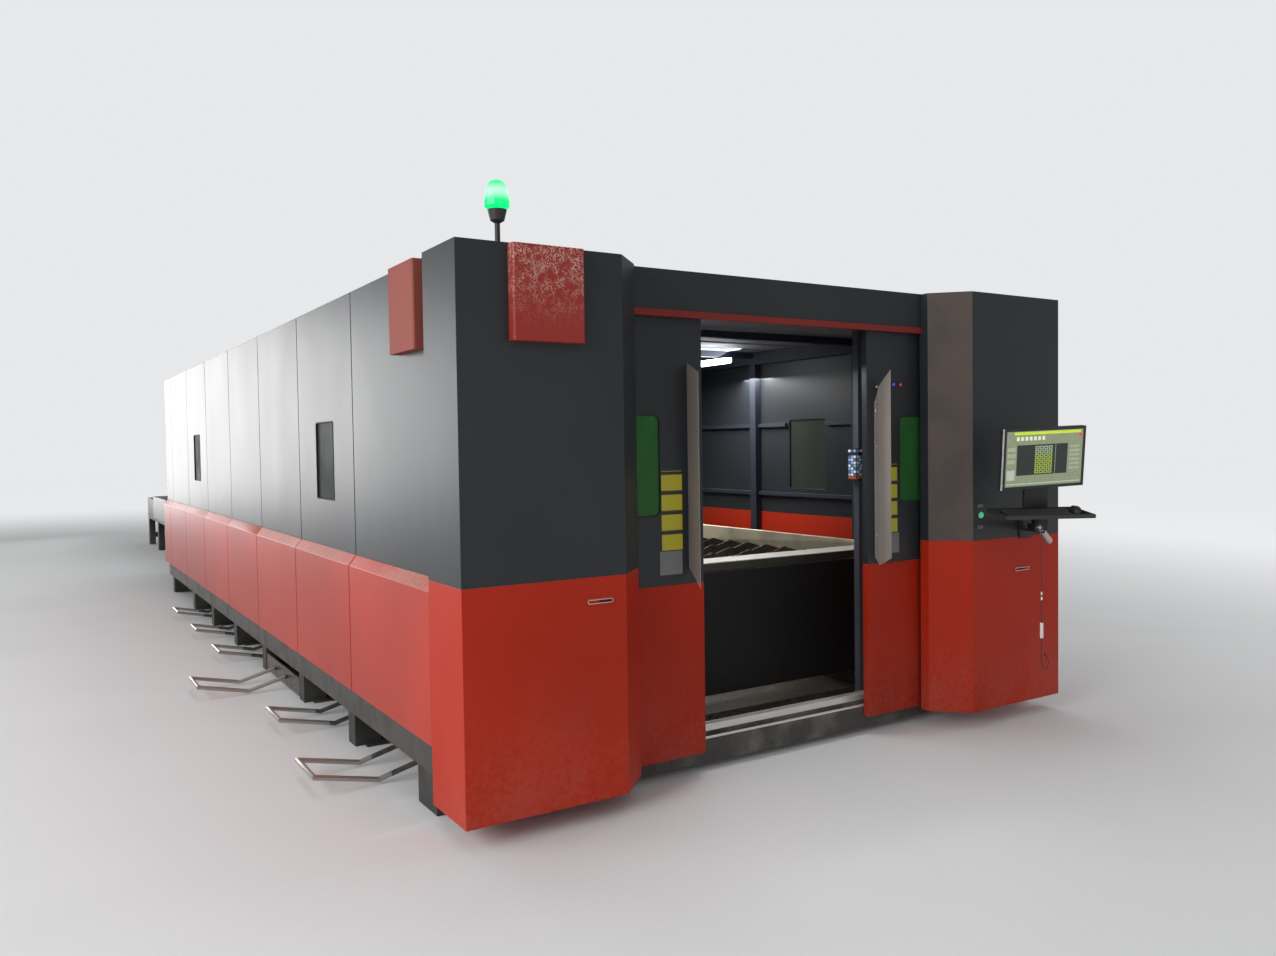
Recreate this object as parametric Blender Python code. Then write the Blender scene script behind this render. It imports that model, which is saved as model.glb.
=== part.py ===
"""Fully enclosed fiber laser cutting machine with a pallet changer behind it.

Frame while modelling: X = 0 is the machine's middle plane, Y = 0 is the front face of the two
corner columns, and Z = 0 is the floor. The door end faces -Y and the pallets leave towards +Y.
At the end everything hangs on one empty, which puts the middle of the bounding box on the origin.
All lengths are metres.
"""

import math

import bmesh
import bpy
from mathutils import Matrix, Vector

LEFT = -1
RIGHT = 1
SIDE_NAMES = {LEFT: "left", RIGHT: "right"}

# General clearances
SEAT_GAP = 0.0003
CUT_OVERRUN = 0.02

# Enclosure
ENCLOSURE_WIDTH = 3.726
ENCLOSURE_LENGTH = 8.95
ENCLOSURE_HEIGHT = 2.40
HALF_WIDTH = ENCLOSURE_WIDTH / 2

# Side walls: a row of equal panels over a red plinth that stands proud of them
WALL_RECESS = 0.04
WALL_THICKNESS = 0.03
COLOUR_SPLIT = 1.041
LEDGE_LOW = 0.99
PLINTH_BOTTOM = 0.335
FIRST_SEAM = 1.53
PANEL_PITCH = 1.15
SEAM_COUNT = 7
SEAM_WIDTH = 0.010
SEAM_DEPTH = 0.008

# Windows in the side walls
LEFT_WINDOW_PANELS = {"front": 1, "rear": 5}
LEFT_WINDOW_OFFSET = 0.385
LEFT_WINDOW_WIDTH = 0.355
LEFT_WINDOW_LOW = 1.31
LEFT_WINDOW_HIGH = 1.745
RIGHT_WINDOW_PANELS = {"front": 1}
RIGHT_WINDOW_OFFSET = 0.365
RIGHT_WINDOW_WIDTH = 0.40
RIGHT_WINDOW_LOW = 1.24
RIGHT_WINDOW_HIGH = 1.765
WINDOW_CORNER = 0.012
GLASS_THICKNESS = 0.012
GLASS_GAP = 0.0005

# Corner columns beside the doors
COLUMN_FRONT_WIDTH = 0.75
COLUMN_CHAMFER = 0.166
COLUMN_DEPTH = 0.225
COLUMN_SIDE_DEPTH = 0.358
COLUMN_BOTTOM = 0.091
COLUMN_SHEET = 0.02

# Base frame and skirt
SKIRT_BOTTOM = 0.18
SKIRT_WIDTH = 0.06
FOOT_WIDTH = 0.12
FOOT_INSET = 0.10
FLOOR_STRIP_WIDTH = 0.22
SILL_FRONT = 0.44
SILL_DEPTH = 0.05
SILL_LOW = 0.05
SILL_HIGH = 0.155

# Tubular enclosure frame
POST_WIDTH = 0.06
POST_DEPTH = 0.08
TOP_RAIL_HEIGHT = 0.10
CROSS_BEAM_HEIGHT = 0.05
GIRT_CUT_LOW = 1.60
GIRT_CUT_HIGH = 1.80
FRAME_DROP = 0.08
GIRT_SIZE = 0.028
GIRT_HEIGHTS = (1.19, 1.73)
FRONT_POST_Y = 0.57
REAR_POST_Y = 8.83

# Roof sheet
ROOF_SHEET = 0.012
ROOF_RIB_HEIGHT = 0.035
ROOF_RIB_WIDTH = 0.05
ROOF_RIB_PITCH = 0.345
ROOF_MARGIN = 0.004

# Rear wall
REAR_PORT_HALF_WIDTH = 1.40
REAR_PORT_LOW = 0.42
REAR_PORT_HIGH = 1.06

# Header over the doors
HEADER_FRONT = 0.21
HEADER_SHEET = 0.025
HEADER_HEIGHT = 0.185
HEADER_DEPTH = 0.15
STRIP_HEIGHT = 0.032
STRIP_PROUD = 0.006

# Sliding doors
LEFT_DOOR_OPEN = 0.523
RIGHT_DOOR_OPEN = 0.567
DOOR_WIDTH = 0.98
DOOR_FRONT = 0.25
DOOR_THICKNESS = 0.038
DOOR_BOTTOM = 0.10
DOOR_SPLIT = 0.93
DOOR_OVERLAP = 0.037
DOOR_WINDOW_OFFSET = 0.245
DOOR_WINDOW_WIDTH = 0.42
DOOR_WINDOW_LOW = 1.258
DOOR_WINDOW_HIGH = 1.73
DOOR_WINDOW_RADIUS = 0.03
DOOR_SHOE_LENGTH = 0.09
DOOR_SHOE_HEIGHT = 0.06
DOOR_SHOE_INSET = 0.12
HANDLE_FROM_EDGE = 0.083
HANDLE_SHEET = 0.004
HANDLE_REACH = 0.09
HANDLE_FLANGE = 0.03
HANDLE_LENGTH = 0.968
HANDLE_LOW_RISE = 0.048
HANDLE_HIGH_RISE = 0.09
HANDLE_MIDDLE = 1.446

# Door frame inside and the sill with its two rails
PORTAL_DEPTH = 0.04
PORTAL_HALF_OPENING = 0.70
PORTAL_LEG_WIDTH = 0.08
PORTAL_OVERLAP = 0.013
PORTAL_DROP = 0.01
TRACK_CLEARANCE = 0.093
TRACK_HEIGHT = 0.05
TRACK_LIP = 0.012
THRESHOLD_FRONT = 0.298
THRESHOLD_BASE = 0.145
THRESHOLD_LOW = 0.03
RAIL_LOW_TOP = 0.158
RAIL_HIGH_TOP = 0.205
RAIL_RIB = 0.014
RAIL_CROWN_SHARE = 0.28

# Blank boxes on the left column
SIGN_WIDTH = 0.32
SIGN_HEIGHT = 0.383
SIGN_DEPTH = 0.05
SIGN_DROP = 0.006
FRONT_SIGN_FROM_CORNER = 0.222
SIDE_SIGN_FRONT = 0.45
SIGN_CORNER_FOLD = 0.006

# Signal beacon
BEACON_FROM_CORNER = 0.24
BEACON_Y = 0.13
BEACON_FOOT_RADIUS = 0.032
BEACON_FOOT_HEIGHT = 0.012
BEACON_STEM_RADIUS = 0.011
BEACON_STEM_TOP = 0.10
BEACON_BODY_RADIUS = 0.04
BEACON_BODY_TOP = 0.155
BEACON_DOME_RADIUS = 0.052
BEACON_DOME_TOP = 0.275
BEACON_FULLNESS_SHARE = 0.6
ROUND_STEPS = 20

# Lamp under the roof
LAMP_X = 1.137
LAMP_LENGTH = 0.96
LAMP_WIDTH = 0.05
LAMP_HEIGHT = 0.04
LAMP_DROP = 0.05
LAMP_HANGER = 0.012

# Machine bed
BED_FRONT = 0.70
BED_REAR = 8.80
BED_TOP = 0.955
BED_BEAM_INNER = 1.27
BED_BEAM_WIDTH = 0.16
BED_BEAM_BOTTOM = 0.24
BED_SHOULDER = 0.86
BED_UPSTAND = 0.04
BED_FRONT_BEAM_DEPTH = 0.18
BED_FRONT_BEAM_HEIGHT = 0.055
BED_CROSS_HEIGHT = 0.12
BED_CROSS_DEPTH = 0.12
BED_LEG_WIDTH = 0.10
LEDGE_WIDTH = 0.10
LEDGE_THICKNESS = 0.03
UPPER_LEDGE_TOP = 0.75
LOWER_LEDGE_TOP = 0.51
BED_COVER_SHEET = 0.006
GANTRY_RAIL_WIDTH = 0.045
GANTRY_RAIL_HEIGHT = 0.030
GANTRY_RAIL_FRONT = 0.92
GANTRY_RAIL_REAR = 8.60

# Scrap drawers on the floor under the bed
DRAWER_COUNT = 6
DRAWER_FIRST = 1.17
DRAWER_PITCH = 1.10
DRAWER_WIDTH = 0.94
DRAWER_LENGTH = 2.90
DRAWER_FRONT = 1.50
DRAWER_LOW = 0.012
DRAWER_HIGH = 0.13
DRAWER_SHEET = 0.01
DRAWER_PULLED = (0.14, 0.05, 0.31, 0.0, 0.0, 0.0)
HANDLE_BAR_RADIUS = 0.013
HANDLE_BAR_SPACING = 0.31
HANDLE_BAR_ROOT_Z = 0.085
HANDLE_BAR_INNER = 0.25
HANDLE_BAR_OUTER = 0.30
HANDLE_BAR_TIP_Z = 0.085
HANDLE_BAR_SIDES = 8

# Gantry and cutting head
GANTRY_Y = 7.55
GANTRY_BEAM_DEPTH = 0.26
GANTRY_BEAM_LOW = 1.16
GANTRY_BEAM_HIGH = 1.44
GANTRY_TRUCK_DEPTH = 0.42
GANTRY_TRUCK_WIDTH = 0.10
GANTRY_BEAM_CHAMFER = 0.06
X_RAIL_HEIGHT = 0.03
X_RAIL_DEPTH = 0.022
X_RAIL_INSET = 0.05
CARRIAGE_WIDTH = 0.26
CARRIAGE_DEPTH = 0.05
CARRIAGE_HIGH = 1.62
CARRIAGE_LOW = 1.13
CARRIAGE_LIP = 0.04
HEAD_WIDTH = 0.11
HEAD_DEPTH = 0.10
HEAD_HIGH = 1.70
HEAD_LOW = 1.17
HEAD_BARREL_RADIUS = 0.042
HEAD_BARREL_LOW = 1.02
HEAD_CONE_RADIUS = 0.018
HEAD_CONE_LOW = 0.975
NOZZLE_RADIUS = 0.012
NOZZLE_TIP_RADIUS = 0.004
NOZZLE_LOW = 0.945

# Pallets
PALLET_FRONT = 0.95
PALLET_LENGTH = 6.14
PALLET_HALF_WIDTH = 1.24
PALLET_RAIL_WIDTH = 0.06
PALLET_RAIL_HEIGHT = 0.085
SLAT_COUNT = 30
SLAT_THICKNESS = 0.008
SLAT_DROP = 0.03
SLAT_RISE = 0.145
TOOTH_COUNT = 8
TOOTH_DEPTH = 0.045

# Pallet changer behind the enclosure
CHANGER_GAP = 0.06
CHANGER_END_MARGIN = 0.18
CHANGER_BEAM_WIDTH = 0.10
CHANGER_BEAM_TOP = 0.80
CHANGER_BEAM_BOTTOM = 0.45
CHANGER_LEG_WIDTH = 0.12
CHANGER_LEG_COUNT = 6
CHANGER_TIE_LOW = 0.12
CHANGER_TIE_HIGH = 0.20
CHANGER_GUARD_LENGTH = 1.20
CHANGER_GUARD_LOW = 0.82
CHANGER_GUARD_HIGH = 1.03

# Operator console on the right column; its places are in the tilted tray's own frame
CONSOLE_X = 1.312
CONSOLE_Y = -0.273
CONSOLE_TURN_DEG = -28.0
CONSOLE_TILT_DEG = 6.5
TRAY_WIDTH = 0.485
TRAY_FRONT = 0.125
TRAY_BACK = 0.115
TRAY_LOW = 1.189
TRAY_SHEET = 0.006
TRAY_RIM = 0.020
CLIP_X = -0.034
CLIP_Y = -0.089
CLIP_SIZE = 0.014
STAND_WIDTH = 0.16
STAND_SHEET = 0.014
STAND_SHIFT = 0.008
STAND_BACK = 0.098
STAND_TURN_DEG = 16.0
STAND_FOOT_DEPTH = 0.035
HINGE_RADIUS = 0.02
HINGE_LENGTH = 0.12
HINGE_HEIGHT = 0.06
MONITOR_WIDTH = 0.54
MONITOR_HEIGHT = 0.325
MONITOR_DEPTH = 0.035
MONITOR_LOW = 0.14
MONITOR_BEZEL = 0.016
MONITOR_SCREEN_RECESS = 0.003
KEYBOARD_WIDTH = 0.35
KEYBOARD_DEPTH = 0.12
KEYBOARD_HIGH = 0.022
KEYBOARD_LOW = 0.012
KEYBOARD_SHIFT = 0.045
MOUSE_LENGTH = 0.105
MOUSE_WIDTH = 0.06
MOUSE_HEIGHT = 0.036
MOUSE_SHIFT = 0.195
MOUSE_RING_SHARES = (0.0, 0.45, 0.8, 1.0)
MOUSE_TAPER_SHARE = 0.75
PIVOT_X = 1.55
PIVOT_Y = -0.055
PIVOT_RADIUS = 0.011
BRACKET_WIDTH = 0.10
BRACKET_LOW = 1.03
BRACKET_HIGH = 1.14
BRACKET_SHEET = 0.008
ARM_LOW = 1.09
ARM_HIGH = 1.125
ARM_WIDTH = 0.05
HUB_WIDTH = 0.07
HUB_DEPTH = 0.045
LEVER_ROOT = (1.275, -0.277, 1.150)
LEVER_TIP = (1.411, -0.259, 1.040)
LEVER_RADIUS = 0.015

# Button, latch and pendant
BUTTON_INSET = 0.062
BUTTON_X = HALF_WIDTH - COLUMN_FRONT_WIDTH + BUTTON_INSET
BUTTON_Z = 1.18
BUTTON_RADIUS = 0.013
BUTTON_PROUD = 0.012
BUTTON_EDGE = 0.002
BUTTON_CLEARANCE = 0.0005
BUTTON_DEPTH = 0.03
BUTTON_STEPS = 12
LEFT_LATCH_X = 1.244
LEFT_LATCH_Z = 0.938
RIGHT_LATCH_X = 1.525
RIGHT_LATCH_Z = 0.857
LATCH_LENGTH = 0.13
LATCH_HEIGHT = 0.024
LATCH_PROUD = 0.006
LATCH_END_SHARE = 0.49
PENDANT_WIDTH = 0.072
PENDANT_DEPTH = 0.045
PENDANT_LOW = 1.375
PENDANT_HIGH = 1.555
PENDANT_EDGE = 0.008

# Thin data cord hanging from the console tray
CORD_RADIUS = 0.002
CORD_ROUTE = (
    (1.241, -0.335, 1.164),
    (1.2411, -0.335, 1.11),
    (1.240, -0.335, 1.02),
    (1.240, -0.335, 0.90),
    (1.2405, -0.335, 0.80),
    (1.241, -0.335, 0.70),
    (1.241, -0.335, 0.63),
    (1.241, -0.335, 0.53),
    (1.237, -0.335, 0.47),
    (1.238, -0.335, 0.42),
    (1.252, -0.335, 0.386),
    (1.276, -0.336, 0.376),
    (1.293, -0.338, 0.398),
    (1.286, -0.340, 0.432),
    (1.266, -0.342, 0.448),
)
CORD_POINTS = 44
ADAPTER_X = 1.241
ADAPTER_Y = -0.335
ADAPTER_LOW = 0.545
ADAPTER_HIGH = 0.625
ADAPTER_RADIUS = 0.0085
ADAPTER_BORE = 0.0026

INNER_FACE = HALF_WIDTH - WALL_RECESS - WALL_THICKNESS
FRAME_TOP = ENCLOSURE_HEIGHT - FRAME_DROP
HEADER_BOTTOM = ENCLOSURE_HEIGHT - HEADER_HEIGHT
DOOR_TOP = HEADER_BOTTOM + DOOR_OVERLAP
PORTAL_LINTEL = HEADER_BOTTOM + PORTAL_OVERLAP
PORTAL_TOP = FRAME_TOP - PORTAL_DROP
SIGN_TOP = ENCLOSURE_HEIGHT - SIGN_DROP
TRACK_HALF_LENGTH = INNER_FACE - TRACK_CLEARANCE
COLUMN_INNER = HALF_WIDTH - COLUMN_FRONT_WIDTH - COLUMN_CHAMFER
GANTRY_RAIL_X = BED_BEAM_INNER + (BED_BEAM_WIDTH + BED_UPSTAND) / 2
RAIL_SEAT = BED_SHOULDER + SEAT_GAP
PALLET_TRAVEL = ENCLOSURE_LENGTH + CHANGER_GAP * 2 - PALLET_FRONT


# Materials

def material(name, colour, roughness, metallic=0.0):
    """Return a Principled BSDF material of one plain finish."""
    result = bpy.data.materials.new(name)
    result.use_nodes = True
    shader = result.node_tree.nodes["Principled BSDF"]
    shader.inputs["Base Color"].default_value = (*colour, 1.0)
    shader.inputs["Roughness"].default_value = roughness
    shader.inputs["Metallic"].default_value = metallic
    return result


def make_materials():
    """Make every finish once and return them by name."""
    return {
        "graphite": material("graphite_paint", (0.035, 0.038, 0.044), 0.35),
        "red": material("red_paint", (0.50, 0.045, 0.018), 0.38),
        "frame": material("frame_paint", (0.045, 0.047, 0.05), 0.5),
        "bed": material("bed_paint", (0.55, 0.50, 0.40), 0.55),
        "black": material("black_paint", (0.012, 0.012, 0.013), 0.6),
        "steel": material("bare_steel", (0.45, 0.44, 0.42), 0.35, 1.0),
        "slat": material("cut_steel", (0.22, 0.20, 0.18), 0.6, 0.8),
        "glass": material("green_acrylic", (0.03, 0.25, 0.05), 0.1),
        "plastic": material("black_plastic", (0.02, 0.02, 0.022), 0.45),
        "grey_plastic": material("grey_plastic", (0.35, 0.36, 0.36), 0.5),
        "beacon": material("beacon_green", (0.05, 0.65, 0.2), 0.2),
        "lamp": material("lamp_white", (0.9, 0.95, 0.95), 0.4),
        "brass": material("nozzle_brass", (0.70, 0.42, 0.18), 0.3, 1.0),
    }


# Mesh helpers

def place(axis, along, first, second):
    """Turn a point of an outline into a 3-D point; axis is the extrusion's direction."""
    if axis == "X":
        return (along, first, second)
    if axis == "Y":
        return (first, along, second)
    return (first, second, along)


def prism(outline, axis, start, end, into=None):
    """Extrude a closed outline along an axis, into an existing mesh if one is given."""
    mesh = into if into is not None else bmesh.new()
    rings = [[mesh.verts.new(place(axis, along, *point)) for point in outline] for along in (start, end)]
    close_rings(mesh, rings)
    return mesh


def close_rings(mesh, rings):
    """Skin a row of equal rings and cap both ends."""
    faces = [mesh.faces.new(rings[0]), mesh.faces.new(list(reversed(rings[-1])))]
    count = len(rings[0])
    for near, far in zip(rings, rings[1:]):
        for step in range(count):
            following = (step + 1) % count
            faces.append(mesh.faces.new((near[step], far[step], far[following], near[following])))
    bmesh.ops.recalc_face_normals(mesh, faces=faces)


def box(low, high, into=None):
    """Add a box between two corners."""
    outline = [(low[0], low[1]), (high[0], low[1]), (high[0], high[1]), (low[0], high[1])]
    return prism(outline, "Z", low[2], high[2], into)


def side_box(side, inner, outer, y_range, z_range, into=None):
    """Add a box whose X extent is given as distances from the middle plane on one side."""
    low_x, high_x = sorted((side * inner, side * outer))
    return box((low_x, y_range[0], z_range[0]), (high_x, y_range[1], z_range[1]), into)


def turned(profile, centre, axis="Z", steps=ROUND_STEPS, into=None):
    """Turn (radius, along) points round an axis through a centre; the ends lie on the axis."""
    mesh = into if into is not None else bmesh.new()
    rings = []
    for radius, along in profile:
        ring = []
        for step in range(steps):
            angle = 2 * math.pi * step / steps
            first = radius * math.cos(angle)
            second = radius * math.sin(angle)
            local = Vector(place(axis, along, first, second))
            ring.append(mesh.verts.new(Vector(centre) + local))
        rings.append(ring)
    close_rings(mesh, rings)
    return mesh


def swept(points, radius, sides, into=None):
    """Sweep a round bar along a path that lies in one bent plane after another."""
    mesh = into if into is not None else bmesh.new()
    path = [Vector(point) for point in points]
    rings = []
    for index, point in enumerate(path):
        before = (point - path[index - 1]).normalized() if index else None
        after = (path[index + 1] - point).normalized() if index + 1 < len(path) else None
        direction = (before or after) + (after or before)
        direction.normalize()
        stretch = 1 / max(direction.dot(before or after), math.cos(math.pi / 4))
        bend = (after - before) if before and after else Vector((0, 0, 0))
        normal = direction.cross(Vector((0, 0, 1)))
        if normal.length < abs(direction.z):
            normal = direction.cross(Vector((0, 1, 0)))
        normal.normalize()
        up = normal.cross(direction)
        ring = []
        for step in range(sides):
            angle = 2 * math.pi * (step + 0.5) / sides
            offset = normal * math.cos(angle) + up * math.sin(angle)
            if bend.length:
                along_bend = bend.normalized()
                offset += along_bend * offset.dot(along_bend) * (stretch - 1)
            ring.append(mesh.verts.new(point + offset * radius))
        rings.append(ring)
    close_rings(mesh, rings)
    return mesh


def rounded_outline(width, height, radius, steps=3):
    """Return a rectangle round the origin whose corners are arcs."""
    points = []
    corners = ((1, -1, -90), (1, 1, 0), (-1, 1, 90), (-1, -1, 180))
    for x_sign, y_sign, start in corners:
        centre_x = x_sign * (width / 2 - radius)
        centre_y = y_sign * (height / 2 - radius)
        for step in range(steps + 1):
            angle = math.radians(start + 90 * step / steps)
            points.append((centre_x + radius * math.cos(angle), centre_y + radius * math.sin(angle)))
    return points


def moved(outline, first, second):
    """Shift an outline."""
    return [(point[0] + first, point[1] + second) for point in outline]


def finish(name, mesh, finish_material):
    """Turn a bmesh into a scene object with its material."""
    data = bpy.data.meshes.new(name)
    mesh.to_mesh(data)
    mesh.free()
    result = bpy.data.objects.new(name, data)
    result.data.materials.append(finish_material)
    bpy.context.collection.objects.link(result)
    return result


def guide(name, mesh):
    """Make a hidden object that a Boolean modifier reads."""
    data = bpy.data.meshes.new(name)
    mesh.to_mesh(data)
    mesh.free()
    result = bpy.data.objects.new(name, data)
    bpy.context.collection.objects.link(result)
    result.hide_render = True
    result.display_type = "WIRE"
    return result


def cut(target, mesh):
    """Subtract a mesh of separate solids from an object."""
    cutter = guide(target.name + "_cutter", mesh)
    modifier = target.modifiers.new("openings", "BOOLEAN")
    modifier.operation = "DIFFERENCE"
    modifier.solver = "EXACT"
    modifier.object = cutter
    cutter.parent = target


def weld(target, mesh):
    """Join further overlapping solids to an object as one body."""
    member = guide(target.name + "_members", mesh)
    modifier = target.modifiers.new("members", "BOOLEAN")
    modifier.operation = "UNION"
    modifier.solver = "EXACT"
    modifier.use_self = True
    modifier.object = member
    member.parent = target


def seams():
    """Return the Y places of the joints between wall panels."""
    return [FIRST_SEAM + PANEL_PITCH * index for index in range(SEAM_COUNT)]


def drawer_centres():
    """Return the Y places of the scrap drawers."""
    return [DRAWER_FIRST + DRAWER_PITCH * index for index in range(DRAWER_COUNT)]


# Enclosure

def panelled_wall(name, outer, inner, start, end, paint, holes):
    """Extrude a wall's section along Y, then cut a narrow groove at every panel joint and the holes.

    outer and inner are the section's outer and inner edges, from bottom to top.
    """
    wall = finish(name, prism(outer + list(reversed(inner)), "Y", start, end), paint)
    side = math.copysign(1, outer[0][0])
    floor = [(point[0] - side * SEAM_DEPTH, point[1]) for point in outer]
    floor.insert(0, (floor[0][0], floor[0][1] - CUT_OVERRUN))
    floor.append((floor[-1][0], floor[-1][1] + CUT_OVERRUN))
    outside = outer[0][0] + side * CUT_OVERRUN
    outline = floor + [(outside, floor[-1][1]), (outside, floor[0][1])]
    for seam in seams():
        prism(outline, "Y", seam - SEAM_WIDTH / 2, seam + SEAM_WIDTH / 2, holes)
    cut(wall, holes)
    return wall


def window_sizes(side):
    """Return a side wall's window panels, offset in the panel, width and the two heights."""
    if side == LEFT:
        return LEFT_WINDOW_PANELS, LEFT_WINDOW_OFFSET, LEFT_WINDOW_WIDTH, LEFT_WINDOW_LOW, LEFT_WINDOW_HIGH
    return RIGHT_WINDOW_PANELS, RIGHT_WINDOW_OFFSET, RIGHT_WINDOW_WIDTH, RIGHT_WINDOW_LOW, RIGHT_WINDOW_HIGH


def side_windows(side, outer, inner, finishes):
    """Make the panes of one side wall and return the holes that hold them."""
    panels, offset, width, low, high = window_sizes(side)
    holes = bmesh.new()
    hole_x = sorted((outer + side * CUT_OVERRUN, inner - side * CUT_OVERRUN))
    pane_x = sorted((outer - side * SEAM_DEPTH, outer - side * (SEAM_DEPTH + GLASS_THICKNESS)))
    hole = rounded_outline(width, high - low, WINDOW_CORNER)
    pane = rounded_outline(width - 2 * GLASS_GAP, high - low - 2 * GLASS_GAP, WINDOW_CORNER - GLASS_GAP)
    for place_name, panel in panels.items():
        middle = (FIRST_SEAM + PANEL_PITCH * (panel - 1) + offset + width / 2, (high + low) / 2)
        prism(moved(hole, *middle), "X", *hole_x, holes)
        glass = prism(moved(pane, *middle), "X", *pane_x)
        finish(SIDE_NAMES[side] + "_" + place_name + "_window", glass, finishes["glass"])
    return holes


def side_wall(side, finishes):
    """Make the upper wall with its windows, and the red plinth below it."""
    outer = side * (HALF_WIDTH - WALL_RECESS)
    inner = side * INNER_FACE
    name = SIDE_NAMES[side]
    start = COLUMN_SIDE_DEPTH + SEAT_GAP
    low = COLOUR_SPLIT + SEAT_GAP
    panelled_wall(name + "_upper_wall", [(outer, low), (outer, ENCLOSURE_HEIGHT)],
                  [(inner, low), (inner, ENCLOSURE_HEIGHT)], start, ENCLOSURE_LENGTH,
                  finishes["graphite"], side_windows(side, outer, inner, finishes))
    face = side * HALF_WIDTH
    panelled_wall(name + "_lower_wall",
                  [(face, PLINTH_BOTTOM), (face, LEDGE_LOW), (outer, COLOUR_SPLIT)],
                  [(inner, PLINTH_BOTTOM), (inner, LEDGE_LOW), (inner, COLOUR_SPLIT)],
                  start, ENCLOSURE_LENGTH, finishes["red"], bmesh.new())


def column_front(side, sheet, outer, back):
    """Return the plan of a corner column's folded front, set in by a sheet's thickness."""
    slant = sheet * math.tan(math.pi / 8)
    points = [
        (outer, sheet),
        (HALF_WIDTH - COLUMN_FRONT_WIDTH + slant, sheet),
        (COLUMN_INNER + sheet, COLUMN_CHAMFER + slant),
        (COLUMN_INNER + sheet, back),
    ]
    return [(side * x, y) for x, y in points]


def column(side, part, heights, hollow_heights, paint):
    """Make one folded shell of a corner column, open at the back."""
    wall = HALF_WIDTH - WALL_RECESS
    outline = column_front(side, 0, HALF_WIDTH, COLUMN_DEPTH)
    outline += [(side * wall, COLUMN_DEPTH), (side * wall, COLUMN_SIDE_DEPTH),
                (side * HALF_WIDTH, COLUMN_SIDE_DEPTH)]
    shell = finish(SIDE_NAMES[side] + "_column_" + part, prism(outline, "Z", *heights), paint)
    back = COLUMN_DEPTH + CUT_OVERRUN
    hollow = column_front(side, COLUMN_SHEET, wall - COLUMN_SHEET, back)
    hollow.append((side * (wall - COLUMN_SHEET), back))
    cut(shell, prism(hollow, "Z", *hollow_heights))
    return shell


def columns(finishes):
    """Make the red lower and graphite upper shells of both corner columns."""
    split = COLOUR_SPLIT + SEAT_GAP
    for side in (LEFT, RIGHT):
        lower = column(side, "lower", (COLUMN_BOTTOM, COLOUR_SPLIT),
                       (COLUMN_BOTTOM + COLUMN_SHEET, COLOUR_SPLIT + CUT_OVERRUN), finishes["red"])
        weld(lower, latch_plate(side))
        upper = column(side, "upper", (split, ENCLOSURE_HEIGHT),
                       (split - CUT_OVERRUN, ENCLOSURE_HEIGHT - COLUMN_SHEET), finishes["graphite"])
        if side == RIGHT:
            radius = BUTTON_RADIUS + BUTTON_CLEARANCE
            hole = [(radius, -CUT_OVERRUN), (radius, COLUMN_SHEET + CUT_OVERRUN)]
            cut(upper, turned(hole, (BUTTON_X, 0, BUTTON_Z), "Y", BUTTON_STEPS))


def base_frame(finishes):
    """Make the skirt beams, the cross sills and the feet as one welded frame."""
    outer = HALF_WIDTH - WALL_RECESS
    inner = outer - SKIRT_WIDTH
    top = PLINTH_BOTTOM - SEAT_GAP
    rear = ENCLOSURE_LENGTH
    frame = finish("base_frame", side_box(LEFT, inner, outer, (SILL_FRONT, rear), (SKIRT_BOTTOM, top)),
                   finishes["frame"])
    members = side_box(RIGHT, inner, outer, (SILL_FRONT, rear), (SKIRT_BOTTOM, top))
    cross = inner + SKIRT_WIDTH / 2
    box((-cross, SILL_FRONT + SEAM_DEPTH, SILL_LOW), (cross, SILL_FRONT + SILL_DEPTH, SILL_HIGH), members)
    box((-cross, rear - SKIRT_WIDTH, SKIRT_BOTTOM + SEAM_DEPTH), (cross, rear - SEAM_DEPTH, top - SEAM_DEPTH),
        members)
    half = FLOOR_STRIP_WIDTH / 2
    for index, middle in enumerate(strip_places()):
        box((-inner, middle - half, 0), (inner, middle + half, DRAWER_LOW - SEAT_GAP), members)
        near = middle - FOOT_WIDTH / 2 if index else SILL_FRONT + SEAM_WIDTH
        for side in (LEFT, RIGHT):
            side_box(side, inner - FOOT_INSET + SEAM_WIDTH, outer - SEAM_WIDTH,
                     (near, middle + FOOT_WIDTH / 2), (0, SKIRT_BOTTOM + SKIRT_WIDTH), members)
    weld(frame, members)


def strip_places():
    """Return the Y places of the floor strips, one on each side of every drawer and one at the rear."""
    edges = [DRAWER_FIRST + DRAWER_PITCH * (index - 0.5) for index in range(DRAWER_COUNT + 1)]
    return edges + [BED_REAR - BED_LEG_WIDTH]


def post_places():
    """Return the Y places of the enclosure's posts."""
    return [FRONT_POST_Y] + seams()[:-1] + [REAR_POST_Y]


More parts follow.
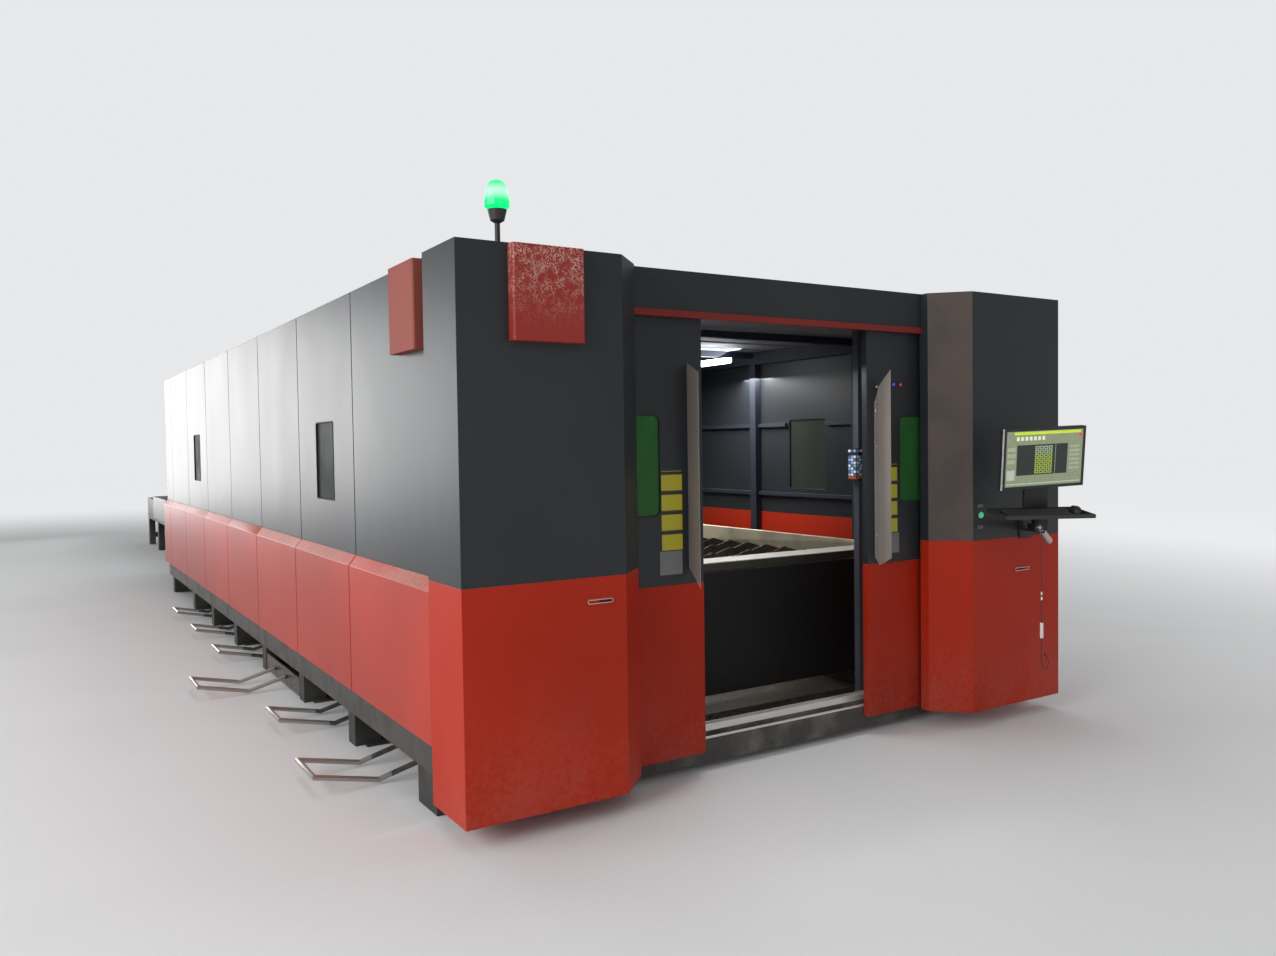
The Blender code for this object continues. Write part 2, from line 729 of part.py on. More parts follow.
def enclosure_frame(finishes):
    """Make the posts, girts, top rails and roof beams as one welded frame."""
    outer = INNER_FACE - SEAT_GAP
    inner = outer - POST_WIDTH
    low = PLINTH_BOTTOM
    places = post_places()
    ends = (places[0] - POST_DEPTH / 2, places[-1] + POST_DEPTH / 2)
    rail_low = FRAME_TOP - TOP_RAIL_HEIGHT
    frame = finish("enclosure_frame", side_box(LEFT, inner, outer, ends, (rail_low, FRAME_TOP)),
                   finishes["frame"])
    members = side_box(RIGHT, inner, outer, ends, (rail_low, FRAME_TOP))
    inset = SEAM_DEPTH / 2
    for side in (LEFT, RIGHT):
        for middle in places:
            span = (middle - POST_DEPTH / 2 + inset, middle + POST_DEPTH / 2 - inset)
            side_box(side, inner + inset, outer - inset, span, (low, rail_low + TOP_RAIL_HEIGHT / 2), members)
        run = (places[0], places[-1])
        for height in GIRT_HEIGHTS:
            side_box(side, outer - GIRT_SIZE, outer - 2 * inset, run,
                     (height - GIRT_SIZE / 2, height + GIRT_SIZE / 2), members)
    for middle in seams()[:-1]:
        box((-inner - POST_WIDTH / 2, middle - POST_DEPTH / 4, FRAME_TOP - CROSS_BEAM_HEIGHT),
            (inner + POST_WIDTH / 2, middle + POST_DEPTH / 4, FRAME_TOP - inset), members)
    weld(frame, members)
    cut(frame, girt_cuts(inner + POST_WIDTH / 2))


def girt_cuts(inner):
    """Return the boxes that stop the upper girts on both sides of every side window."""
    boxes = bmesh.new()
    for side in (LEFT, RIGHT):
        panels, offset, width, _, _ = window_sizes(side)
        for panel in panels.values():
            near = FIRST_SEAM + PANEL_PITCH * (panel - 1) + offset - CUT_OVERRUN
            side_box(side, inner - CUT_OVERRUN, INNER_FACE + CUT_OVERRUN,
                     (near, near + width + 2 * CUT_OVERRUN), (GIRT_CUT_LOW, GIRT_CUT_HIGH), boxes)
    return boxes


def roof(finishes):
    """Make the roof as one folded sheet with raised ribs across the machine."""
    start = HEADER_FRONT + HEADER_SHEET + ROOF_MARGIN
    end = ENCLOSURE_LENGTH - WALL_THICKNESS - ROOF_MARGIN
    low = FRAME_TOP + SEAT_GAP
    count = int((end - start) / ROOF_RIB_PITCH)
    top = [(start, low + ROOF_SHEET)]
    bottom = [(start, low)]
    for index in range(count):
        middle = start + ROOF_RIB_PITCH * (index + 0.5)
        for offset, is_high in ((-ROOF_RIB_WIDTH, False), (-ROOF_RIB_WIDTH / 2, True),
                                (ROOF_RIB_WIDTH / 2, True), (ROOF_RIB_WIDTH, False)):
            rise = ROOF_RIB_HEIGHT if is_high else 0
            top.append((middle + offset, low + ROOF_SHEET + rise))
            bottom.append((middle + offset, low + rise))
    top.append((end, low + ROOF_SHEET))
    bottom.append((end, low))
    reach = INNER_FACE - ROOF_MARGIN
    finish("roof", prism(bottom + list(reversed(top)), "X", -reach, reach), finishes["graphite"])


def rear_wall(finishes):
    """Make the rear wall with the port that the pallets pass through."""
    reach = INNER_FACE - SEAT_GAP
    wall = box((-reach, ENCLOSURE_LENGTH - WALL_THICKNESS, PLINTH_BOTTOM),
               (reach, ENCLOSURE_LENGTH, ENCLOSURE_HEIGHT))
    result = finish("rear_wall", wall, finishes["graphite"])
    cut(result, box((-REAR_PORT_HALF_WIDTH, ENCLOSURE_LENGTH - WALL_THICKNESS - CUT_OVERRUN, REAR_PORT_LOW),
                    (REAR_PORT_HALF_WIDTH, ENCLOSURE_LENGTH + CUT_OVERRUN, REAR_PORT_HIGH)))


def header(finishes):
    """Make the folded header over the doors and the red strip under it."""
    reach = COLUMN_INNER - SEAT_GAP
    back = HEADER_FRONT + HEADER_DEPTH
    outline = [
        (HEADER_FRONT, HEADER_BOTTOM), (HEADER_FRONT + HEADER_SHEET, HEADER_BOTTOM),
        (HEADER_FRONT + HEADER_SHEET, ENCLOSURE_HEIGHT - HEADER_SHEET), (back, ENCLOSURE_HEIGHT - HEADER_SHEET),
        (back, ENCLOSURE_HEIGHT), (HEADER_FRONT, ENCLOSURE_HEIGHT),
    ]
    finish("door_header", prism(outline, "X", -reach, reach), finishes["graphite"])
    top = HEADER_BOTTOM - SEAT_GAP
    strip = box((-reach, HEADER_FRONT - STRIP_PROUD, top - STRIP_HEIGHT),
                (reach, HEADER_FRONT + HEADER_SHEET, top))
    finish("header_strip", strip, finishes["red"])


def door_frame(finishes):
    """Make the fixed portal behind the doors, with the top track that the doors hang from."""
    foot = SILL_HIGH + SEAT_GAP
    near = PORTAL_HALF_OPENING
    far = near + PORTAL_LEG_WIDTH
    end = INNER_FACE - SEAT_GAP
    outline = [
        (-far, foot), (-near, foot), (-near, PORTAL_LINTEL), (near, PORTAL_LINTEL), (near, foot), (far, foot),
        (far, PORTAL_LINTEL), (end, PORTAL_LINTEL), (end, PORTAL_TOP), (-end, PORTAL_TOP),
        (-end, PORTAL_LINTEL), (-far, PORTAL_LINTEL),
    ]
    back = SILL_FRONT + SILL_DEPTH
    portal = finish("door_frame", prism(outline, "Y", back - PORTAL_DEPTH, back), finishes["frame"])
    track_low = DOOR_TOP + SEAT_GAP
    track_high = track_low + TRACK_HEIGHT
    lip_front = DOOR_FRONT - TRACK_LIP
    lip_back = DOOR_FRONT + DOOR_THICKNESS + TRACK_LIP
    web_low = track_high - TRACK_LIP
    track = [(lip_front, track_low), (lip_back, track_low), (lip_back, web_low), (back - TRACK_LIP, web_low),
             (back - TRACK_LIP, track_high), (lip_front, track_high)]
    weld(portal, prism(track, "X", -TRACK_HALF_LENGTH, TRACK_HALF_LENGTH))


def rail_crown(near, top):
    """Return the blunt top of one rail, from its back to its front."""
    slope = RAIL_RIB * RAIL_CROWN_SHARE
    return [(near + RAIL_RIB, top - slope), (near + RAIL_RIB - slope, top), (near + slope, top),
            (near, top - slope)]


def threshold(finishes):
    """Make the door sill with its two rails as one drawn section."""
    channel = THRESHOLD_BASE + RAIL_RIB
    lip = channel + 2 * RAIL_RIB
    back = SILL_FRONT - SEAT_GAP
    high_rail = THRESHOLD_FRONT + 3 * RAIL_RIB
    outline = [(THRESHOLD_FRONT, THRESHOLD_LOW), (back, THRESHOLD_LOW), (back, lip),
               (back - RAIL_RIB / 2, lip), (back - RAIL_RIB / 2, channel), (high_rail + RAIL_RIB, channel)]
    outline += rail_crown(high_rail, RAIL_HIGH_TOP)
    outline += [(high_rail, THRESHOLD_BASE), (THRESHOLD_FRONT + RAIL_RIB, THRESHOLD_BASE)]
    outline += rail_crown(THRESHOLD_FRONT, RAIL_LOW_TOP)
    reach = TRACK_HALF_LENGTH
    finish("door_threshold", prism(outline, "X", -reach, reach), finishes["steel"])


# Doors

def door_x(side, from_edge):
    """Return the X of a point measured from the leading edge of an open door."""
    return side * ((LEFT_DOOR_OPEN if side == LEFT else RIGHT_DOOR_OPEN) + from_edge)


def door(side, finishes):
    """Make one sliding door: red lower leaf, graphite upper leaf, window and handle."""
    name = SIDE_NAMES[side]
    back = DOOR_FRONT + DOOR_THICKNESS
    near = side * door_x(side, 0)
    far = near + DOOR_WIDTH
    lower = finish(name + "_door_lower",
                   side_box(side, near, far, (DOOR_FRONT, back), (DOOR_BOTTOM, DOOR_SPLIT)), finishes["red"])
    shoes = bmesh.new()
    shoe_low = RAIL_HIGH_TOP + SEAT_GAP
    shoe_y = (back - SEAM_DEPTH, THRESHOLD_FRONT + 4 * RAIL_RIB)
    for inset in (DOOR_SHOE_INSET, DOOR_WIDTH - DOOR_SHOE_INSET):
        side_box(side, near + inset - DOOR_SHOE_LENGTH / 2, near + inset + DOOR_SHOE_LENGTH / 2, shoe_y,
                 (shoe_low, shoe_low + DOOR_SHOE_HEIGHT), shoes)
    weld(lower, shoes)
    upper = finish(name + "_door_upper",
                   side_box(side, near, far, (DOOR_FRONT, back), (DOOR_SPLIT + SEAT_GAP, DOOR_TOP)),
                   finishes["graphite"])
    middle_x = door_x(side, DOOR_WINDOW_OFFSET + DOOR_WINDOW_WIDTH / 2)
    height = DOOR_WINDOW_HIGH - DOOR_WINDOW_LOW
    middle_z = (DOOR_WINDOW_HIGH + DOOR_WINDOW_LOW) / 2
    hole = moved(rounded_outline(DOOR_WINDOW_WIDTH, height, DOOR_WINDOW_RADIUS), middle_x, middle_z)
    cut(upper, prism(hole, "Y", DOOR_FRONT - CUT_OVERRUN, back + CUT_OVERRUN))
    pane = rounded_outline(DOOR_WINDOW_WIDTH - 2 * GLASS_GAP, height - 2 * GLASS_GAP,
                           DOOR_WINDOW_RADIUS - GLASS_GAP)
    pane_y = DOOR_FRONT + SEAM_DEPTH / 2
    finish(name + "_door_window",
           prism(moved(pane, middle_x, middle_z), "Y", pane_y, pane_y + GLASS_THICKNESS), finishes["glass"])
    door_handle(side, finishes)


def door_handle(side, finishes):
    """Make the folded pull: a slanted blade square to the door and its flange on the door."""
    root_y = DOOR_FRONT - SEAT_GAP
    tip_y = root_y - HANDLE_REACH
    blade_x = sorted((door_x(side, HANDLE_FROM_EDGE), door_x(side, HANDLE_FROM_EDGE + HANDLE_SHEET)))
    low = -(HANDLE_LENGTH + HANDLE_HIGH_RISE) / 2
    high = low + HANDLE_LENGTH
    blade = [(root_y, low), (tip_y, low + HANDLE_LOW_RISE), (tip_y, high + HANDLE_HIGH_RISE), (root_y, high)]
    blade = [(y, HANDLE_MIDDLE + side * height) for y, height in blade]
    handle = finish(SIDE_NAMES[side] + "_door_handle", prism(blade, "X", *blade_x), finishes["frame"])
    near = door_x(side, HANDLE_FROM_EDGE + HANDLE_SHEET / 2)
    far = door_x(side, HANDLE_FROM_EDGE - HANDLE_FLANGE)
    flange = [(near, low + HANDLE_SHEET), (far, low + HANDLE_LOW_RISE), (far, high - HANDLE_HIGH_RISE),
              (near, high - HANDLE_SHEET)]
    flange = [(x, HANDLE_MIDDLE + side * height) for x, height in flange]
    weld(handle, prism(flange, "Y", root_y - HANDLE_SHEET, root_y))


# Small fittings on the enclosure

def sign_boxes(finishes):
    """Make the two blank folded boxes on the left column and on the left wall."""
    low = SIGN_TOP - SIGN_HEIGHT
    start = -HALF_WIDTH + FRONT_SIGN_FROM_CORNER
    fold = SIGN_CORNER_FOLD
    front = [(start, -SEAT_GAP), (start, -SIGN_DEPTH + fold), (start + fold, -SIGN_DEPTH),
             (start + SIGN_WIDTH - fold, -SIGN_DEPTH), (start + SIGN_WIDTH, -SIGN_DEPTH + fold),
             (start + SIGN_WIDTH, -SEAT_GAP)]
    finish("front_sign_box", prism(front, "Z", low, SIGN_TOP), finishes["red"])
    wall = -HALF_WIDTH + WALL_RECESS
    near = SIDE_SIGN_FRONT
    side_outline = [(wall - SEAT_GAP, near), (wall - SIGN_DEPTH + fold, near), (wall - SIGN_DEPTH, near + fold),
                    (wall - SIGN_DEPTH, near + SIGN_WIDTH - fold),
                    (wall - SIGN_DEPTH + fold, near + SIGN_WIDTH), (wall - SEAT_GAP, near + SIGN_WIDTH)]
    finish("side_sign_box", prism(side_outline, "Z", low, SIGN_TOP), finishes["red"])


def beacon(finishes):
    """Turn the beacon's foot, stem and cup, and its domed lens."""
    centre = (-HALF_WIDTH + BEACON_FROM_CORNER, BEACON_Y, ENCLOSURE_HEIGHT + SEAT_GAP)
    flare = BEACON_STEM_TOP + BEACON_STEM_RADIUS
    base = [(BEACON_FOOT_RADIUS, 0), (BEACON_FOOT_RADIUS, BEACON_FOOT_HEIGHT),
            (BEACON_STEM_RADIUS, BEACON_FOOT_HEIGHT), (BEACON_STEM_RADIUS, BEACON_STEM_TOP),
            (BEACON_BODY_RADIUS - BEACON_STEM_RADIUS, flare), (BEACON_BODY_RADIUS, BEACON_BODY_TOP)]
    finish("beacon_base", turned(base, centre), finishes["plastic"])
    low = BEACON_BODY_TOP + SEAT_GAP
    lip = low + BEACON_FOOT_HEIGHT
    rise = BEACON_DOME_TOP - lip
    dome = [(BEACON_BODY_RADIUS, low), (BEACON_DOME_RADIUS, lip)]
    for step in range(1, 7):
        angle = math.pi / 2 * step / 7
        radius = BEACON_DOME_RADIUS * math.cos(angle) ** BEACON_FULLNESS_SHARE
        dome.append((radius, lip + rise * math.sin(angle)))
    dome.append((BEACON_STEM_RADIUS, BEACON_DOME_TOP))
    finish("beacon_dome", turned(dome, centre), finishes["beacon"])


def lamp(finishes):
    """Make the lamp batten under the roof beam at the second seam."""
    middle = seams()[1]
    seat = FRAME_TOP - CROSS_BEAM_HEIGHT - SEAT_GAP
    top = seat - LAMP_DROP
    half = LAMP_WIDTH / 2
    bevel = LAMP_WIDTH / 4
    outline = [(LAMP_X - half, top), (LAMP_X - half, top - LAMP_HEIGHT + bevel),
               (LAMP_X - half + bevel, top - LAMP_HEIGHT), (LAMP_X + half - bevel, top - LAMP_HEIGHT),
               (LAMP_X + half, top - LAMP_HEIGHT + bevel), (LAMP_X + half, top)]
    batten = finish("interior_lamp", prism(outline, "Y", middle - LAMP_LENGTH / 2, middle + LAMP_LENGTH / 2),
                    finishes["lamp"])
    hanger = LAMP_HANGER / 2
    weld(batten, box((LAMP_X - hanger, middle - hanger, top - bevel),
                     (LAMP_X + hanger, middle + hanger, seat)))


def pendant(finishes):
    """Make the hand pendant that hangs in its clip on the right door post."""
    edge = PENDANT_EDGE
    high_x = PORTAL_HALF_OPENING - SEAT_GAP
    low_x = high_x - PENDANT_DEPTH
    back = SILL_FRONT + SILL_DEPTH
    front = back - PENDANT_WIDTH
    outline = [(high_x, back), (low_x + edge, back), (low_x, back - edge), (low_x, front + edge),
               (low_x + edge, front), (high_x, front)]
    finish("pendant", prism(outline, "Z", PENDANT_LOW, PENDANT_HIGH), finishes["plastic"])


def start_button(finishes):
    """Turn the lit start button on the right column."""
    profile = [(BUTTON_RADIUS, BUTTON_DEPTH), (BUTTON_RADIUS, BUTTON_EDGE - BUTTON_PROUD),
               (BUTTON_RADIUS - BUTTON_EDGE, -BUTTON_PROUD)]
    finish("start_button", turned(profile, (BUTTON_X, 0, BUTTON_Z), "Y", BUTTON_STEPS), finishes["beacon"])


def latch_plate(side):
    """Return the oval latch plate that is riveted on a corner column's red shell."""
    place = (-LEFT_LATCH_X, LEFT_LATCH_Z) if side == LEFT else (RIGHT_LATCH_X, RIGHT_LATCH_Z)
    outline = rounded_outline(LATCH_LENGTH, LATCH_HEIGHT, LATCH_HEIGHT * LATCH_END_SHARE, 5)
    return prism(moved(outline, *place), "Y", -LATCH_PROUD, LATCH_PROUD)


# Bed, gantry and head

def bed(finishes):
    """Make the welded bed: side beams, ledges for both pallet levels, cross beams and legs."""
    inner = BED_BEAM_INNER
    outer = inner + BED_BEAM_WIDTH
    run = (BED_FRONT, BED_REAR)
    section = [(inner, BED_BEAM_BOTTOM), (outer, BED_BEAM_BOTTOM), (outer, BED_SHOULDER),
               (inner + BED_UPSTAND, BED_SHOULDER), (inner + BED_UPSTAND, BED_TOP), (inner, BED_TOP)]
    left_section = [(-x, z) for x, z in section]
    frame = finish("bed_frame", prism(left_section, "Y", *run), finishes["bed"])
    members = prism(section, "Y", *run)
    middle = inner + BED_BEAM_WIDTH / 2
    sink = SEAM_DEPTH / 2
    reach = inner + BED_UPSTAND / 2
    box((-reach, BED_FRONT + sink, BED_TOP - BED_FRONT_BEAM_HEIGHT),
        (reach, BED_FRONT + BED_FRONT_BEAM_DEPTH, BED_TOP - sink), members)
    cross_low = BED_BEAM_BOTTOM + sink
    for place_y in strip_places()[1:]:
        box((-middle, place_y - BED_LEG_WIDTH / 3, cross_low),
            (middle, place_y + BED_LEG_WIDTH / 3, cross_low + BED_CROSS_HEIGHT), members)
        for side in (LEFT, RIGHT):
            side_box(side, inner + sink, outer - sink,
                     (place_y - BED_LEG_WIDTH / 2, place_y + BED_LEG_WIDTH / 2),
                     (DRAWER_LOW, cross_low + sink), members)
    for side in (LEFT, RIGHT):
        for top in (UPPER_LEDGE_TOP, LOWER_LEDGE_TOP):
            side_box(side, inner - LEDGE_WIDTH, middle, (BED_FRONT + BED_FRONT_BEAM_DEPTH, BED_REAR - sink),
                     (top - LEDGE_THICKNESS, top), members)
    weld(frame, members)


def bed_cover(finishes):
    """Make the black folded sheet that closes the bed's front end."""
    top = BED_TOP - BED_FRONT_BEAM_HEIGHT
    front = BED_FRONT - SEAT_GAP
    low = BED_BEAM_BOTTOM - SEAT_GAP
    outline = [(front, top), (front - BED_COVER_SHEET, top), (front - BED_COVER_SHEET, low - BED_COVER_SHEET),
               (front + BED_FRONT_BEAM_DEPTH, low - BED_COVER_SHEET), (front + BED_FRONT_BEAM_DEPTH, low),
               (front, low)]
    reach = BED_BEAM_INNER + BED_BEAM_WIDTH
    finish("bed_front_cover", prism(outline, "X", -reach, reach), finishes["black"])


def gantry_rails(finishes):
    """Lay the linear rails on the bed's side beams."""
    half = GANTRY_RAIL_WIDTH / 2
    waist = GANTRY_RAIL_WIDTH / 6
    top = RAIL_SEAT + GANTRY_RAIL_HEIGHT
    mid = RAIL_SEAT + GANTRY_RAIL_HEIGHT / 2
    for side in (LEFT, RIGHT):
        centre = side * GANTRY_RAIL_X
        outline = [(-half, RAIL_SEAT), (half, RAIL_SEAT), (half - waist, mid), (half, top), (-half, top),
                   (-half + waist, mid)]
        finish(SIDE_NAMES[side] + "_gantry_rail",
               prism(moved(outline, centre, 0), "Y", GANTRY_RAIL_FRONT, GANTRY_RAIL_REAR), finishes["steel"])


def gantry(finishes):
    """Make the cross beam with its two trucks and the rails of the head on its front."""
    front = GANTRY_Y - GANTRY_BEAM_DEPTH / 2
    rear = GANTRY_Y + GANTRY_BEAM_DEPTH / 2
    chamfer = GANTRY_BEAM_CHAMFER
    section = [(front, GANTRY_BEAM_LOW), (rear - chamfer, GANTRY_BEAM_LOW),
               (rear, GANTRY_BEAM_LOW + chamfer), (rear, GANTRY_BEAM_HIGH - chamfer),
               (rear - chamfer, GANTRY_BEAM_HIGH), (front, GANTRY_BEAM_HIGH)]
    reach = GANTRY_RAIL_X
    beam = finish("gantry_beam", prism(section, "X", -reach, reach), finishes["frame"])
    members = bmesh.new()
    seat = RAIL_SEAT + GANTRY_RAIL_HEIGHT + SEAT_GAP
    half = GANTRY_TRUCK_WIDTH / 2
    for side in (LEFT, RIGHT):
        truck = [(GANTRY_Y - GANTRY_TRUCK_DEPTH / 2, seat), (GANTRY_Y + GANTRY_TRUCK_DEPTH / 2, seat),
                 (GANTRY_Y + GANTRY_TRUCK_DEPTH / 2, GANTRY_BEAM_LOW),
                 (rear + SEAM_WIDTH, GANTRY_BEAM_HIGH + SEAM_WIDTH),
                 (front - SEAM_WIDTH - X_RAIL_DEPTH, GANTRY_BEAM_HIGH + SEAM_WIDTH),
                 (GANTRY_Y - GANTRY_TRUCK_DEPTH / 2, GANTRY_BEAM_LOW)]
        span = sorted((side * (GANTRY_RAIL_X - half), side * (GANTRY_RAIL_X + half)))
        prism(truck, "X", *span, members)
    for low in (GANTRY_BEAM_LOW + X_RAIL_INSET, GANTRY_BEAM_HIGH - X_RAIL_INSET - X_RAIL_HEIGHT):
        box((-reach, front - X_RAIL_DEPTH, low), (reach, front + SEAM_DEPTH, low + X_RAIL_HEIGHT), members)
    weld(beam, members)


def head(finishes):
    """Make the cross carriage, the head on its upright slide and the nozzle."""
    back = GANTRY_Y - GANTRY_BEAM_DEPTH / 2 - X_RAIL_DEPTH - SEAT_GAP
    front = back - CARRIAGE_DEPTH
    half = CARRIAGE_WIDTH / 2
    plate = [(-half, CARRIAGE_LOW), (half, CARRIAGE_LOW), (half, CARRIAGE_HIGH - CARRIAGE_LIP),
             (half - CARRIAGE_LIP, CARRIAGE_HIGH), (-half + CARRIAGE_LIP, CARRIAGE_HIGH),
             (-half, CARRIAGE_HIGH - CARRIAGE_LIP)]
    finish("head_carriage", prism(plate, "Y", front, back), finishes["frame"])
    head_back = front - SEAT_GAP
    head_front = head_back - HEAD_DEPTH
    edge = PENDANT_EDGE
    wide = HEAD_WIDTH / 2
    outline = [(-wide, head_back), (-wide, head_front + edge), (-wide + edge, head_front),
               (wide - edge, head_front), (wide, head_front + edge), (wide, head_back)]
    body = finish("cutting_head", prism(outline, "Z", HEAD_LOW, HEAD_HIGH), finishes["grey_plastic"])
    centre = (0, (head_back + head_front) / 2, 0)
    barrel = [(HEAD_BARREL_RADIUS, HEAD_LOW + HEAD_CONE_RADIUS), (HEAD_BARREL_RADIUS, HEAD_BARREL_LOW),
              (HEAD_CONE_RADIUS, HEAD_CONE_LOW)]
    weld(body, turned(barrel, centre))
    top = HEAD_CONE_LOW - SEAT_GAP
    tip = [(NOZZLE_RADIUS, top), (NOZZLE_RADIUS, (top + NOZZLE_LOW) / 2), (NOZZLE_TIP_RADIUS, NOZZLE_LOW)]
    finish("nozzle", turned(tip, centre, steps=12), finishes["brass"])


# Pallets and changer

def slat_outline(reach, low, high):
    """Return a support slat's saw-toothed outline."""
    pitch = 2 * reach / TOOTH_COUNT
    points = [(-reach, low), (reach, low)]
    for index in range(TOOTH_COUNT):
        start = reach - pitch * index
        points.append((start, high - TOOTH_DEPTH))
        points.append((start - pitch / 2, high))
    points.append((-reach, high - TOOTH_DEPTH))
    return points


def pallet(name, seat, front, finishes):
    """Make one pallet: side rails, end rails and a row of saw-toothed slats."""
    low = seat + SEAT_GAP
    outer = PALLET_HALF_WIDTH
    inner = outer - PALLET_RAIL_WIDTH
    rear = front + PALLET_LENGTH
    rail_high = low + PALLET_RAIL_HEIGHT
    frame = finish(name, side_box(LEFT, inner, outer, (front, rear), (low, rail_high)), finishes["slat"])
    members = side_box(RIGHT, inner, outer, (front, rear), (low, rail_high))
    middle = (inner + outer) / 2
    sink = SEAM_DEPTH / 2
    for near in (front + sink, rear - PALLET_RAIL_WIDTH - sink):
        box((-middle, near, low + sink), (middle, near + PALLET_RAIL_WIDTH, rail_high - sink), members)
    outline = slat_outline(middle, low + SLAT_DROP, low + SLAT_RISE)
    pitch = (PALLET_LENGTH - 2 * PALLET_RAIL_WIDTH) / SLAT_COUNT
    for index in range(SLAT_COUNT):
        place_y = front + PALLET_RAIL_WIDTH + pitch * (index + 0.5)
        prism(outline, "Y", place_y - SLAT_THICKNESS / 2, place_y + SLAT_THICKNESS / 2, members)
    weld(frame, members)


def changer(finishes):
    """Make the pallet changer: rails at two levels, legs, low ties and the two front guards."""
    start = ENCLOSURE_LENGTH + CHANGER_GAP / 2
    end = PALLET_FRONT + PALLET_TRAVEL + PALLET_LENGTH + CHANGER_END_MARGIN
    inner = BED_BEAM_INNER
    outer = inner + CHANGER_BEAM_WIDTH
    frame = finish("pallet_changer",
                   side_box(LEFT, inner, outer, (start, end), (CHANGER_BEAM_BOTTOM, CHANGER_BEAM_TOP)),
                   finishes["frame"])
    members = side_box(RIGHT, inner, outer, (start, end), (CHANGER_BEAM_BOTTOM, CHANGER_BEAM_TOP))
    middle = inner + CHANGER_BEAM_WIDTH / 2
    sink = SEAM_DEPTH / 2
    half = CHANGER_LEG_WIDTH / 2
    pitch = (end - start - CHANGER_LEG_WIDTH - 2 * sink) / (CHANGER_LEG_COUNT - 1)
    for index in range(CHANGER_LEG_COUNT):
        place_y = start + half + sink + pitch * index
        for side in (LEFT, RIGHT):
            side_box(side, inner + sink, outer - sink, (place_y - half, place_y + half),
                     (0, CHANGER_BEAM_BOTTOM + half), members)
        box((-middle, place_y - half / 2, CHANGER_TIE_LOW), (middle, place_y + half / 2, CHANGER_TIE_HIGH),
            members)
    for side in (LEFT, RIGHT):
        for top in (UPPER_LEDGE_TOP, LOWER_LEDGE_TOP):
            side_box(side, inner - LEDGE_WIDTH, middle, (start + sink, end - sink),
                     (top - LEDGE_THICKNESS, top), members)
        side_box(side, outer - sink, HALF_WIDTH - WALL_RECESS / 2,
                 (start + sink, start + CHANGER_GUARD_LENGTH), (CHANGER_GUARD_LOW - half, CHANGER_GUARD_HIGH),
                 members)
    weld(frame, members)


# Scrap drawers

def drawer(index, centre_y, finishes):
    """Make one floor drawer: a folded tray and the bent bar that pulls it."""
    pulled = DRAWER_PULLED[index]
    low_x = -DRAWER_FRONT - pulled
    high_x = low_x + DRAWER_LENGTH
    near = centre_y - DRAWER_WIDTH / 2
    far = centre_y + DRAWER_WIDTH / 2
    tray = finish("scrap_drawer_" + str(index + 1),
                  box((low_x, near, DRAWER_LOW), (high_x, far, DRAWER_HIGH)), finishes["steel"])
    sheet = DRAWER_SHEET
    cut(tray, box((low_x + sheet, near + sheet, DRAWER_LOW + sheet),
                  (high_x - sheet, far - sheet, DRAWER_HIGH + CUT_OVERRUN)))
    bend_x = low_x - HANDLE_BAR_INNER
    tip_x = bend_x - HANDLE_BAR_OUTER
    root_x = low_x + sheet / 2
    bend_z = HANDLE_BAR_RADIUS + DRAWER_LOW / 2
    half = HANDLE_BAR_SPACING / 2
    path = [(root_x, centre_y - half, HANDLE_BAR_ROOT_Z), (bend_x, centre_y - half, bend_z),
            (tip_x, centre_y - half, HANDLE_BAR_TIP_Z), (tip_x, centre_y + half, HANDLE_BAR_TIP_Z),
            (bend_x, centre_y + half, bend_z), (root_x, centre_y + half, HANDLE_BAR_ROOT_Z)]
    weld(tray, swept(path, HANDLE_BAR_RADIUS, HANDLE_BAR_SIDES))


# Operator console

def console_matrix():
    """Return the placement of the tray; its own -Y side faces the operator."""
    turn = Matrix.Rotation(math.radians(CONSOLE_TURN_DEG), 4, "Z")
    tilt = Matrix.Rotation(math.radians(CONSOLE_TILT_DEG), 4, "X")
    return Matrix.Translation((CONSOLE_X, CONSOLE_Y, TRAY_LOW)) @ turn @ tilt


def monitor_matrix():
    """Return the placement of the monitor's stand, whose hinge is over its own origin."""
    turn = Matrix.Rotation(math.radians(STAND_TURN_DEG), 4, "Z")
    return console_matrix() @ Matrix.Translation((STAND_SHIFT, STAND_BACK - HINGE_RADIUS, 0)) @ turn


def placed(mesh, matrix):
    """Move a whole mesh into place and return it."""
    bmesh.ops.transform(mesh, matrix=matrix, verts=mesh.verts)
    return mesh


def console_bracket(finishes):
    """Make the wall bracket: a plate with a shelf and the pin that the arm turns on."""
    half = BRACKET_WIDTH / 2
    back = -SEAT_GAP
    plate = box((PIVOT_X - half, back - BRACKET_SHEET, BRACKET_LOW), (PIVOT_X + half, back, BRACKET_HIGH))
    bracket = finish("console_bracket", plate, finishes["frame"])
    shelf_top = ARM_LOW - SEAT_GAP
    shelf = box((PIVOT_X - ARM_WIDTH / 2, PIVOT_Y - ARM_WIDTH / 2, shelf_top - 2 * BRACKET_SHEET),
                (PIVOT_X + ARM_WIDTH / 2, back - BRACKET_SHEET / 2, shelf_top))
    pin = [(PIVOT_RADIUS, shelf_top - BRACKET_SHEET), (PIVOT_RADIUS, ARM_HIGH + BRACKET_SHEET)]
    turned(pin, (PIVOT_X, PIVOT_Y, 0), steps=16, into=shelf)
    weld(bracket, shelf)


